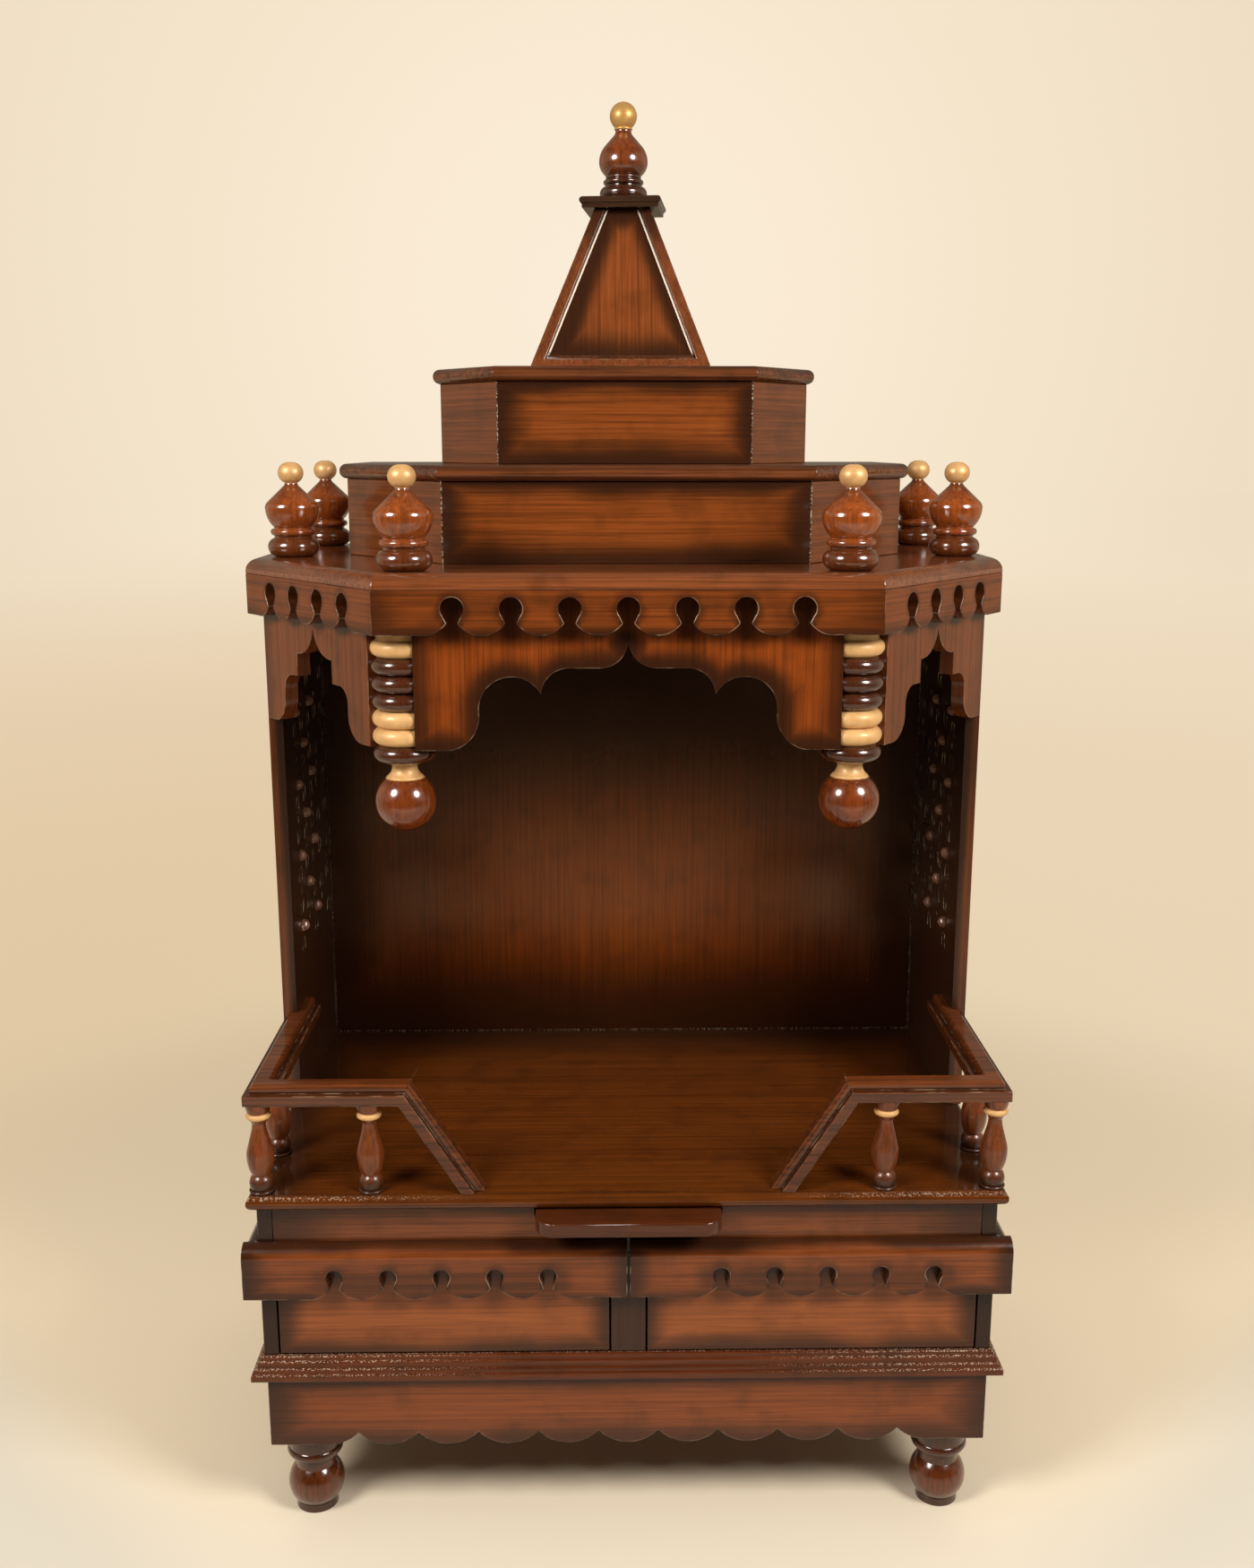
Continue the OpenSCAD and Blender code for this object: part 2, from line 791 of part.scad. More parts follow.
// The opening under a slanting arch, drawn from its middle out: an ogee point, a short
// upright, a rounded step and a rounded foot
module slant_arch_opening() {
    point_h = arch_drop - 37.5;
    step_h = arch_drop - 79;
    point_r = 26;
    neck_x = 28;
    step_x = 51;
    step_r = 13;
    foot_r = 20;
    // under the point
    difference() {
        translate([0, -past]) square([point_r, point_h - 2 + past]);
        translate([point_r, point_h + 3]) circle(point_r);
    }
    translate([0, -past]) square([neck_x, point_h + 3 - point_r + past]);
    // the step
    translate([step_x - step_r, step_h - step_r]) circle(step_r);
    translate([0, -past]) square([step_x - step_r, step_h + past]);
    translate([0, -past]) square([step_x, step_h - step_r + past]);
    // the rounded foot of the board
    difference() {
        translate([step_x - past, -past]) square([foot_r + past, foot_r + past]);
        translate([step_x + foot_r, foot_r - 0.2]) circle(foot_r);
    }
}

// Puts a flat outline on the slanting side of a plan, from its front corner, with its
// thickness going in
module on_slant(a, y0, t) {
    translate([a, y0, 0]) rotate([0, 0, slant]) upright(t) children();
}

module slant_arch() {
    middle = 106;
    intersection() {
        on_slant(canopy_x, canopy_front, board_t) difference() {
            translate([slant_arch_start, 0])
                square([slant_len - slant_arch_start + board_t, arch_drop]);
            translate([middle, 0]) both_sides() slant_arch_opening();
        }
        translate([0, 0, -past]) cube([shrine_w / 2, shrine_front, 2 * arch_drop]);
    }
}

module arch_left() {
    color(wood) set_down() translate([0, 0, canopy_z - arch_drop])
        mirror([1, 0, 0]) slant_arch();
}

module arch_right() {
    color(wood) set_down() translate([0, 0, canopy_z - arch_drop]) slant_arch();
}

// A turned pendant from its ball up: ball, flared neck, discs, and a plain length
// behind the fascia
module pendant_turning() {
    discs = 7;
    drop = canopy_z - pendant_z;
    ball_r = 23.2;
    collar_z = 38.5;
    disc_z = 54;
    turned() {
        ball(ball_r, ball_r);
        ring(14.6, collar_z, collar_z + 3.6);
        shoulder(14, collar_z + 3, 1.5, 9.6, disc_z - 4, 9);
        shaft(9.6, disc_z - 5, 9.6, disc_z);
        for (i = [0:discs - 1]) ring(disc_d / 2, disc_z + i * disc_t, disc_z + (i + 1) * disc_t);
        shaft(19, disc_z + discs * disc_t - past, 19, drop);
    }
}

// The pendant, grooved over the ends of the two arch boards that it hides
module pendant() {
    clear = 0.02;
    difference() {
        translate([pendant_x, canopy_front + pendant_in, pendant_z]) pendant_turning();
        translate([0, canopy_front - clear, canopy_z - arch_drop])
            cube([arch_x, board_t + 2 * clear, arch_drop + past]);
        translate([0, 0, canopy_z - arch_drop])
            on_slant(canopy_x, canopy_front, board_t)
                translate([slant_arch_start, 0]) square([60, arch_drop + past]);
    }
}

module pendant_left() {
    color(dark_wood) set_down() mirror([1, 0, 0]) pendant();
}

module pendant_right() {
    color(dark_wood) set_down() pendant();
}

module canopy_keyholes(len, ends, pitch) {
    keyholed(len, canopy_fascia_h, ends, pitch, 9.6, canopy_hole_d, 19.6, 7.6);
}

// The outlines of the canopy's front, its slanting sides and its square sides, as
// boards mitred at their ends
module canopy_front_strip() {
    a = canopy_x;
    b = shrine_w / 2;
    corner = plan_points(a, b, canopy_front, overall_d, canopy_out);
    polygon([[-a, canopy_front], [-corner[0][0], corner[0][1]], corner[0], [a, canopy_front]]);
}

module canopy_slant_strip() {
    corner = plan_points(canopy_x, shrine_w / 2, canopy_front, overall_d, canopy_out);
    polygon([[canopy_x, canopy_front], corner[0], corner[1], [shrine_w / 2, shrine_front]]);
}

module canopy_side_strip() {
    corner = plan_points(canopy_x, shrine_w / 2, canopy_front, overall_d, canopy_out);
    polygon([[shrine_w / 2, shrine_front], corner[1], corner[2], [shrine_w / 2, overall_d]]);
}

module canopy_fascia_front() {
    color(wood) set_down() translate([0, 0, canopy_z - canopy_fascia_h]) intersection() {
        linear_extrude(canopy_fascia_h) canopy_front_strip();
        translate([0, canopy_front - canopy_out, 0]) upright(canopy_out)
            canopy_keyholes(2 * canopy_x + 2 * canopy_out, 70, canopy_pitch);
    }
}

module canopy_fascia_slants() {
    color(wood) set_down() translate([0, 0, canopy_z - canopy_fascia_h]) both_sides()
        intersection() {
            linear_extrude(canopy_fascia_h) canopy_slant_strip();
            translate([canopy_out * sin(slant), -canopy_out * cos(slant), 0])
                on_slant(canopy_x, canopy_front, canopy_out) translate([slant_len / 2, 0])
                    canopy_keyholes(slant_len + 2 * canopy_out, 45, slant_pitch);
        }
}

module canopy_fascia_sides() {
    len = overall_d - shrine_front;
    color(wood) set_down() translate([0, 0, canopy_z - canopy_fascia_h]) both_sides()
        intersection() {
            linear_extrude(canopy_fascia_h) canopy_side_strip();
            translate([shrine_w / 2, shrine_front + len / 2, 0])
                rotate([0, 0, 90]) translate([0, -canopy_out, 0]) upright(canopy_out)
                    canopy_keyholes(len + 2 * canopy_out, 50, slant_pitch);
        }
}

module canopy_board() {
    color(wood) set_down() translate([0, 0, canopy_z])
        moulded_board(plan_sides(canopy_x, shrine_w / 2, canopy_front), overall_d, board_t)
            round_top(board_t, canopy_out, board_t - 1);
}

// ---- Tiers ----

module tier_walls(tier, y0, z, h) {
    color(drawer_wood) set_down() translate([0, 0, z]) linear_extrude(h) difference() {
        plan(tier[0], tier[1], y0, overall_d);
        plan(tier[0], tier[1], y0, overall_d - board_t, -board_t);
    }
}

module tier_top(tier, y0, z) {
    color(wood) set_down() translate([0, 0, z])
        moulded_board(plan_sides(tier[0], tier[1], y0), overall_d, board_t)
            half_round(board_t, nosing);
}

// ---- Spire ----

spire_y = (upper_front + overall_d) / 2;
panel_set = 3;
panel_t = 8;

// Stands the spire on the upper tier, turned a little
module on_spire_place() {
    translate([0, spire_y, spire_z]) rotate([0, 0, -spire_turn]) children();
}

// A square spire, set in by i on each side
module frustum(i) {
    foot = spire_w / 2 - i;
    top = spire_top_w / 2 - i;
    outline = [[-foot, 0], [foot, 0], [top, spire_h], [-top, spire_h]];
    intersection() {
        translate([0, spire_w / 2, 0]) rotate([90, 0, 0]) linear_extrude(spire_w)
            polygon(outline);
        translate([-spire_w / 2, 0, 0]) rotate([90, 0, 90]) linear_extrude(spire_w)
            polygon(outline);
    }
}

// The windows of the spire's frame
module spire_windows() {
    rail = 6.4;
    taper = (spire_w - spire_top_w) / 2 / spire_h;
    foot = spire_w / 2 - spire_frame_w - rail * taper;
    top = spire_top_w / 2 - spire_frame_w;
    for (turn = [0, 90]) rotate([0, 0, turn]) translate([0, spire_w, 0])
        rotate([90, 0, 0]) linear_extrude(2 * spire_w)
            polygon([[-foot, rail], [foot, rail], [top, spire_h + past], [-top, spire_h + past]]);
}

module spire_panels() {
    color(drawer_wood) set_down() on_spire_place() difference() {
        frustum(panel_set);
        translate([0, 0, -0.01]) frustum(panel_set + panel_t);
    }
}

// The frame on the spire's panels
module spire_frame() {
    color(dark_wood) set_down() on_spire_place() difference() {
        frustum(0);
        frustum(panel_set);
        spire_windows();
    }
}

module cap_plate() {
    color(dark_wood) set_down() translate([0, spire_y, cap_z]) rotate([0, 0, -cap_turn])
        intersection_for (turn = [0, 90]) rotate([0, 0, turn])
            translate([0, cap_w / 2 + past, 0]) rotate([90, 0, 0])
                linear_extrude(cap_w + 2 * past) both_sides() cap_edge();
}

// Half the cap plate's outline: a thin plate with a rounded edge on a thinner one
module cap_edge() {
    under = 3.2;
    edge = (cap_t - under) / 2;
    square([cap_w / 2 - 2, under + past]);
    translate([0, under]) square([cap_w / 2 - edge, cap_t - under]);
    translate([cap_w / 2 - edge, under + edge]) circle(edge);
}

module top_finial() {
    bulb_r = 20.5;
    bulb_z = 31;
    color(dark_wood) set_down() translate([0, spire_y, cap_z + cap_t]) turned() {
        ring(20, 0, 11.6);
        shaft(13.8, 6, 13.8, 18);
        ring(17, 12.6, 17);
        ring(15, 17.4, 20.2);
        swell(bulb_r, bulb_z, 14.4, 19.6);
        shoulder(bulb_r, bulb_z, 19, 6.6, 56, 6);
        ring(7.6, 56, 58.6);
        shaft(6.6, 55, 6.6, 67);
        ball(11.4, 67.4);
    }
}

module small_finial() {
    r = onion_d / 2;
    onion_z = 39.4;
    neck_r = 5.2;
    ball_z = 59.2;
    turned() {
        ring(r - 1, 0, 15.6);
        shaft(15.4, 8, 15.4, 24);
        ring(18.3, 17.2, 22.8);
        swell(r, onion_z, 15, 23.6);
        shoulder(r, onion_z, 7, neck_r, ball_z + 0.4, 3);
        shaft(neck_r, ball_z - 1, neck_r, ball_z + 2);
        ring(small_ball_d / 2, ball_z, ball_z + 0.83 * small_ball_d);
    }
}

module finials(x, y) {
    color(dark_wood) set_down() both_sides() translate([x, y, lower_z]) small_finial();
}

feet(foot_inset);  // feet_front
feet(overall_d - foot_inset);  // feet_back
skirt_front();
skirt_sides();
skirt_back();
base_board();
cabinet_left();
cabinet_right();
cabinet_back();
centre_divider();
dust_board();
frieze();
side_fascias();
drawer_left_front();
drawer_left_fascia();
drawer_left_box();
drawer_right_front();
drawer_right_fascia();
drawer_right_box();
tray();
shelf_board();
side_panel_left();
side_panel_right();
back_panel();
rail_left();
rail_right();
balusters_left();
balusters_right();
arch_front();
arch_left();
arch_right();
pendant_left();
pendant_right();
canopy_fascia_front();
canopy_fascia_slants();
canopy_fascia_sides();
canopy_board();
tier_walls(lower_tier, lower_front, lower_z, lower_h);  // lower_tier_walls
tier_top(lower_tier, lower_front, lower_top_z);  // lower_tier_top
tier_walls(upper_tier, upper_front, upper_z, upper_h);  // upper_tier_walls
tier_top(upper_tier, upper_front, upper_top_z);  // upper_tier_top
spire_panels();
spire_frame();
cap_plate();
top_finial();
finials(canopy_x - finial_set, canopy_front + finial_in);  // finials_front
finials(shrine_w / 2 - onion_d / 2 - 1, shrine_front + onion_d / 2 + 1.6);  // finials_middle
finials(shrine_w / 2 - onion_d / 2 - 3.5, overall_d - onion_d / 2 - 2);  // finials_back
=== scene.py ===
import functools
import json
import math

import bmesh
import bpy
from mathutils import Matrix, Vector

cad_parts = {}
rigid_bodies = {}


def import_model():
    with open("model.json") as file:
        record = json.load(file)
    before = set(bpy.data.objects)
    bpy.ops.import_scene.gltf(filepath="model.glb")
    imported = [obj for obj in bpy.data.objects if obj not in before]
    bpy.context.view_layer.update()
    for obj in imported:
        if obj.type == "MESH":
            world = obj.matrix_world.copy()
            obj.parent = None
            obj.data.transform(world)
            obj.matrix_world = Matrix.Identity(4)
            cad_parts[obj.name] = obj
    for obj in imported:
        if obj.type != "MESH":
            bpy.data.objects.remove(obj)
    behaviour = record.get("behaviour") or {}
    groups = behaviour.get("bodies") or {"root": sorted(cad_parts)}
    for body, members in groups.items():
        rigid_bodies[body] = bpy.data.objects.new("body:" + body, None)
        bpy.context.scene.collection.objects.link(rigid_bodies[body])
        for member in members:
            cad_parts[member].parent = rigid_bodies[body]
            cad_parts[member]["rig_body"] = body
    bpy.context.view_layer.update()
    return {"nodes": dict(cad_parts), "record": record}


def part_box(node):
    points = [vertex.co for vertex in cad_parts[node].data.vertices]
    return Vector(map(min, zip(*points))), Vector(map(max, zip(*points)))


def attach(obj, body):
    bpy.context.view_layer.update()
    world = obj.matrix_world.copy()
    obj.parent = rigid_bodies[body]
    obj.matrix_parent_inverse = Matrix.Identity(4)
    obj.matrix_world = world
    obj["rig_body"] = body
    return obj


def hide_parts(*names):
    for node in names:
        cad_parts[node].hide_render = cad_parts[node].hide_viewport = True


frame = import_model()

# ---------------------------------------------------------------------------
# Feet: four turned feet of red-brown hardwood, a ball between a pad and a
# heavy collar. They are dipped dark and lacquered, and stand under the skirt.
# ---------------------------------------------------------------------------


class Field:
    """A shader socket; arithmetic on it adds the Math nodes that work it out. Without a
    socket it only stands for its tree, to make a first node in."""

    def __init__(self, tree, socket=None):
        self.tree = tree
        self.socket = socket

    def node(self, kind, settings, values, out=0):
        """One output of a new node: its settings are made first, then its sockets."""
        made = self.tree.nodes.new(kind)
        for name, value in settings.items():
            if name == "stops":
                ramp = made.color_ramp
                while len(ramp.elements) < len(value):
                    ramp.elements.new(0.5)
                for stop, (place, shade) in zip(ramp.elements, value):
                    stop.position = place
                    stop.color = shade
            else:
                setattr(made, name, value)
        for key, value in values.items():
            if isinstance(value, Field):
                self.tree.links.new(value.socket, made.inputs[key])
            else:
                made.inputs[key].default_value = value
        return Field(self.tree, made.outputs[out])

    def math(self, operation, *terms):
        return self.node("ShaderNodeMath", {"operation": operation}, dict(enumerate(terms)))

    def __add__(self, other):
        return self.math("ADD", self, other)

    def __sub__(self, other):
        return self.math("SUBTRACT", self, other)

    def __mul__(self, other):
        return self.math("MULTIPLY", self, other)

    def __truediv__(self, other):
        return self.math("DIVIDE", self, other)

    def __rsub__(self, other):
        return self.math("SUBTRACT", other, self)

    def __neg__(self):
        return self.math("MULTIPLY", self, -1.0)

    def __abs__(self):
        return self.math("ABSOLUTE", self)

    __radd__ = __add__
    __rmul__ = __mul__

    def min(self, other):
        return self.math("MINIMUM", self, other)

    def max(self, other):
        return self.math("MAXIMUM", self, other)

    def wave(self, height):
        """Rises to height and falls back to 0 as the value grows."""
        return self.math("PINGPONG", self, height)

    def wrap(self, low, high):
        """The value brought between low and high by whole steps."""
        return self.math("WRAP", self, high, low)

    def reach(self, other):
        """Length of the pair (self, other)."""
        return self.math("SQRT", self * self + other * other)

    def ease(self, start, end):
        """0 at start and 1 at end, softly."""
        return self.node("ShaderNodeMapRange", {"interpolation_type": "SMOOTHSTEP"},
                         {"Value": self, "From Min": start, "From Max": end})

    def mix(self, first, second):
        """The colour second where self is 1, first where it is 0."""
        return self.node("ShaderNodeMix", {"data_type": "RGBA"},
                         {"Factor": self, 6: first, 7: second}, 2)

    def xyz(self):
        """The three parts of a place."""
        split = self.node("ShaderNodeSeparateXYZ", {}, {0: self}).socket.node
        return [Field(self.tree, part) for part in split.outputs]

    def cloudy(self, scale, detail):
        """Noise that is alike in every direction round a place."""
        return self.node("ShaderNodeTexNoise", {},
                         {"Vector": self, "Scale": scale, "Detail": detail})


def object_place(tree):
    """The place of a point on its piece, which is its place in the room at rest."""
    return Field(tree).node("ShaderNodeTexCoord", {}, {}, "Object")


def rgb(red, green, blue):
    """A colour as a paint chart gives it, made linear."""
    return tuple(((c / 255 + 0.055) / 1.055) ** 2.4 if c > 10 else c / 255 / 12.92
                 for c in (red, green, blue)) + (1,)


STAIN_AND_SHADE = rgb(40, 22, 12)          # the airbrushed dark stain along the edges, also used for painted shade
RUBBED_AND_GLINT = rgb(168, 140, 112)      # pale eased edges: lacquer and stain rubbed, and painted highlights along them
WORN_AND_GLINT = rgb(196, 176, 152)        # pale flecks: worn away with dust settled in, and painted glints
RING_DARK, FIBRE_DARK, BAND_DARK = 0.17, 0.62, 0.2       # how far the grain darkens
PORE_DARK, BLOTCH_DARK, STAIN_DARK = 0.4, 0.3, 0.93      # how far the stain covers
LACQUER_BUMP = 0.12


def lacquered(name, grain, bright, streak, stain=None, rough=0.2, fleck=None, figure=1.0,
              rings=14, edge=None, lay=None, coat=0.15, coat_rough=0.09, ior=1.45,
              burst_and_shade=STAIN_AND_SHADE, rub_and_glint=RUBBED_AND_GLINT):
    """Stained and lacquered wood with its grain along one axis. stain, fleck and edge are
    functions of x, y and z that say how much dark stain and painted shade, pale wear and
    painted glints, or rubbing and painted highlight of the eased edges lies there, and stain
    also gets w, by how much the airbrush wavers. lay gives the place of a point in a board
    that leans."""
    material = bpy.data.materials.new(name)
    material.use_nodes = True
    tree = material.node_tree
    shader = tree.nodes["Principled BSDF"]
    place = object_place(tree)
    x, y, z = place.xyz()
    board = place
    if lay:
        board = place.node("ShaderNodeCombineXYZ", {}, dict(enumerate(lay(x, y, z))))

    def grained(along, across, detail, roughness, distortion=0.0, shift=0.0):
        """Noise drawn out along the grain."""
        scale = [across] * 3
        scale["XYZ".index(grain)] = along
        moved = place.node("ShaderNodeMapping", {},
                           {"Vector": board, "Location": (shift, shift, shift), "Scale": scale})
        return place.node("ShaderNodeTexNoise", {},
                          {"Vector": moved, "Scale": 1.0, "Detail": detail,
                           "Roughness": roughness, "Distortion": distortion})

    # The wood: growth rings in broad bands, fibres and fine pores under a blotchy stain
    bands = grained(1.3, 40, 2, 0.5, 0.2)
    fibres = grained(4, 360, 3, 0.65, 0.0, 3.1)
    pores = grained(24, 1500, 2, 0.5, 0.0, 7.7)
    blotch = place.cloudy(34.0, 3.0)
    growth = (bands * rings).wave(0.5) * 2.0
    dark = (growth.ease(0.3, 1.0) * RING_DARK + fibres.ease(0.36, 0.70) * FIBRE_DARK
            + bands.ease(0.4, 0.75) * BAND_DARK) * figure
    wood = dark.min(1.0).mix(bright, streak)
    wood = (pores.ease(0.5, 0.75) * (PORE_DARK * figure)).mix(wood, STAIN_AND_SHADE)
    wood = (blotch.ease(0.46, 0.74) * BLOTCH_DARK).mix(wood, STAIN_AND_SHADE)

    # The airbrushed burst with its painted shade, then the wear and painted highlights on it, and
    # how glossy each place is left
    cloud = place.cloudy(9.0, 2.0)
    if stain:
        waver = (cloud - 0.5) * 0.022 + (bands - 0.5) * 0.008
        wood = (stain(x, y, z, waver).ease(0.0, 1.0) * STAIN_DARK).mix(wood, burst_and_shade)
    gloss = rough + (cloud - 0.5) * 0.12
    if edge:
        crest = place.node("ShaderNodeAttribute", {"attribute_name": "edge"}, {}, 2)
        share = edge(x, y, z)
        patches = (place.cloudy(70.0, 3.0).ease(0.45, 0.64) * share).max(share - 1)
        wood = (crest * patches).mix(wood, rub_and_glint)
    if fleck:
        flecks_and_glints = fleck(x, y, z) * place.cloudy(760.0, 1.0).ease(0.53, 0.63)
        wood = flecks_and_glints.min(1.0).mix(wood, WORN_AND_GLINT)
        gloss = gloss + flecks_and_glints * 0.2

    # The lacquer: it sinks into the fibres and dries to a faint orange peel
    height = fibres * 0.25 + place.cloudy(160.0, 1.0) * 0.6
    bump = place.node("ShaderNodeBump", {},
                      {"Strength": LACQUER_BUMP, "Distance": 0.001, "Height": height})
    tree.links.new(wood.socket, shader.inputs["Base Color"])
    tree.links.new(gloss.socket, shader.inputs["Roughness"])
    tree.links.new(bump.socket, shader.inputs["Normal"])
    shader.inputs["IOR"].default_value = ior
    shader.inputs["Coat Weight"].default_value = coat
    shader.inputs["Coat Roughness"].default_value = coat_rough
    return material


def finish(node, material):
    """Gives a CAD node its finish."""
    slots = frame["nodes"][node].data.materials
    slots.clear()
    slots.append(material)


def foot_stain(x, y, z, w):
    """Dark from the collar up, and darker at the pad."""
    return (z + w).ease(0.030, 0.046) * 0.55 + (z + w).ease(0.018, 0.004) * 0.7


feet_finish = lacquered("feet_lacquer", "Z", rgb(104, 48, 18), rgb(66, 30, 11), coat=0.6,
                        stain=foot_stain)
for node in ("feet_front", "feet_back"):
    finish(node, feet_finish)

# ---------------------------------------------------------------------------
# Skirt: three softwood boards under the base, the front and the sides cut to
# a row of scallops. Their edges are eased by hand and darkened by airbrush.
# ---------------------------------------------------------------------------
SHARP_EDGE = math.radians(38)       # edges that turn by more than this are eased
SAME_FACE = math.radians(0.4)       # triangles that turn by less than this are one face


def material_slot(node):
    """The slot that the CAD's record gives a node."""
    return next(part["material_slot"] for part in frame["record"]["subparts"]
                if part["node"] == node)


def made_piece(name, work, material):
    """The shape in work as an object in the scene, in its finish."""
    mesh = bpy.data.meshes.new(name)
    work.to_mesh(mesh)
    work.free()
    mesh.materials.append(material)
    piece = bpy.data.objects.new(name, mesh)
    bpy.context.scene.collection.objects.link(piece)
    return piece


def eased(node, material, width=0.0009):
    """A board as the CAD gives it, with its sharp edges eased, in its finish."""
    work = bmesh.new()
    work.from_mesh(frame["nodes"][node].data)
    bmesh.ops.remove_doubles(work, verts=work.verts, dist=1e-5)
    bmesh.ops.dissolve_limit(work, angle_limit=SAME_FACE, verts=work.verts, edges=work.edges)
    sharp = [e for e in work.edges
             if len(e.link_faces) == 2 and e.calc_face_angle() > SHARP_EDGE]
    crest = work.loops.layers.float_color.new("edge")
    rounded = bmesh.ops.bevel(work, geom=sharp, offset=width, offset_type="OFFSET",
                              affect="EDGES", segments=2, profile=0.5, material=-1,
                              clamp_overlap=False)
    rounded = set(rounded["faces"])
    for face in work.faces:
        face.smooth = True
        for loop in face.loops:
            loop[crest] = (1, 1, 1, 1) if face in rounded else (0, 0, 0, 1)
    board = made_piece(node + "_eased", work, material)
    weigh = board.modifiers.new("flat_faces", "WEIGHTED_NORMAL")
    weigh.keep_sharp = False
    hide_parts(node)
    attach(board, frame["nodes"][node]["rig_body"])
    material_slot(node)


def most(fields):
    """The greatest of several values."""
    return functools.reduce(Field.max, fields)


def edge_burst(node, width, axes="XZ", strength=1.0, sides=(1, 1, 1, 1)):
    """Dark stain along the four edges of a board that lies in the plane of two axes;
    sides says how far it comes in from each of them, as a share of width."""
    low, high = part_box(node)

    def stain(x, y, z, w):
        bands = []
        for i, axis in enumerate(axes):
            k = "XYZ".index(axis)
            here = (x, y, z)[k]
            bands.append((here - low[k] + w).ease(width * sides[2 * i], 0.0))
            bands.append((high[k] - here + w).ease(width * sides[2 * i + 1], 0.0))
        return most(bands) * strength
    return stain


SCALLOPED = rgb(136, 70, 31)
skirt_stain = edge_burst("skirt_front", 0.045, sides=(1.2, 1.2, 0.75, 0.6), strength=0.8)
# The pale colour on the scallops' eased edges is rubbed lacquer and a painted highlight.
eased("skirt_front", lacquered("skirt_lacquer", "X", SCALLOPED, rgb(96, 47, 22), figure=0.85,
                               stain=skirt_stain,
                               edge=lambda x, y, z: z.ease(0.090, 0.086) * 0.4))
eased("skirt_sides", lacquered("skirt_side_lacquer", "Y", SCALLOPED, rgb(92, 45, 22),
                               stain=edge_burst("skirt_sides", 0.03, "YZ")))
eased("skirt_back", lacquered("back_lacquer", "X", rgb(92, 48, 27), rgb(66, 34, 20),
                              figure=0.8))

# ---------------------------------------------------------------------------
# Base board: a board with strips under its edges, worked into four beads that
# widen to its foot. Along the beads lie pale flecks of dust and painted glints.
# ---------------------------------------------------------------------------
BEAD_CRESTS = (0.29, 0.50, 0.79, 0.98)      # as shares of the edge's height
base_low, base_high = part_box("base_board")


def bead_dust_and_glints(x, y, z):
    """Dust and painted glints along the crests towards both ends, and on the top just behind its
    front edge.
    """
    rise = (z - base_low.z) / (base_high.z - base_low.z)
    lines = most(abs(rise - crest).ease(0.035, 0.01) for crest in BEAD_CRESTS)
    behind = (y - base_low.y - 0.009).ease(0.0, 0.001)
    top = (rise - BEAD_CRESTS[-1]).ease(-0.02, 0.0) * behind * 0.5
    return (lines * abs(x).ease(0.08, 0.24) * 0.8).max(top)


eased("base_board", lacquered("base_lacquer", "X", rgb(102, 49, 22), rgb(68, 32, 15),
                              fleck=bead_dust_and_glints), 0.0005)

# ---------------------------------------------------------------------------
# Cabinet: side boards, back, centre stile, dust board and frieze in stained
# board, glued and pinned. The frieze, the stile and the sides' edges show.
# ---------------------------------------------------------------------------
for node in ("cabinet_left", "cabinet_right"):
    eased(node, lacquered(node + "_lacquer", "Z", rgb(96, 50, 29), rgb(68, 36, 22),
                          stain=edge_burst(node, 0.035, "YZ")))
for node in ("cabinet_back", "dust_board"):
    eased(node, lacquered(node + "_lacquer", "X", rgb(96, 52, 30), rgb(70, 38, 23)))
eased("centre_divider", lacquered("stile_lacquer", "Z", rgb(61, 35, 23), rgb(48, 27, 18)))
frieze_stain = edge_burst("frieze", 0.026, sides=(3.6, 3.6, 0.9, 0.7), strength=0.75)
eased("frieze", lacquered("frieze_lacquer", "X", rgb(124, 66, 31), rgb(84, 42, 20),
                          stain=frieze_stain))

# ---------------------------------------------------------------------------
# Fascias of the cabinet: a softwood strip glued over each drawer and along
# each side, its top edge rounded, keyholes sawn out over its scallops.
# ---------------------------------------------------------------------------
KEYHOLES = 5                # in each drawer's fascia
KEYHOLE_PITCH = 0.0422
KEYHOLE_Z = 0.0185          # a hole's middle over the fascia's lower edge
KEYHOLE_R = 0.0067
OFF_CENTRE = 0.005          # the rows are sawn this far to the right
ROUNDED_TOP = 0.03          # the rounding starts this far up


def keyhole_burst(along, up, middle, count, pitch, radius, spread):
    """Stain round a row of keyholes, deepest at the throat under each hole. along is a
    point's place along the fascia, middle the row's own, and up its height over the
    holes' middles."""
    wrapped = (along - middle + (count - 1) / 2 * pitch).wrap(-pitch / 2, pitch / 2)
    hole = wrapped.reach(up) - radius
    throat = wrapped.reach((up + radius * 1.4) * 0.6) - radius * 0.3
    return (hole.ease(spread * 0.8, 0.0) * 0.62).max(throat.ease(spread * 0.85, 0.0))


def row_span(along, middle, count, pitch, past=0.004, short=0.004):
    """1 along a row of keyholes and 0 past its ends; it fades from short of them to past."""
    half = count * pitch / 2
    return abs(along - middle).ease(half + past, half - short)


def fascia_stain(node, middle):
    """Round the keyholes, in a haze along their row, and in from the fascia's edges."""
    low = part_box(node)[0]
    ends = edge_burst(node, 0.02, sides=(1.5, 1.5, 0.7, 0.5), strength=0.85)

    def stain(x, y, z, w):
        up = z + w * 0.3 - low.z - KEYHOLE_Z
        holes = keyhole_burst(x, up, middle, KEYHOLES, KEYHOLE_PITCH, KEYHOLE_R, 0.014)
        haze = abs(z - low.z - 0.015 + w * 0.6).ease(0.019, 0.004) * 0.55
        row = row_span(x, middle, KEYHOLES, KEYHOLE_PITCH, 0.008, 0.010)
        return (holes.max(haze) * row).max(ends(x, y, z, w))
    return stain


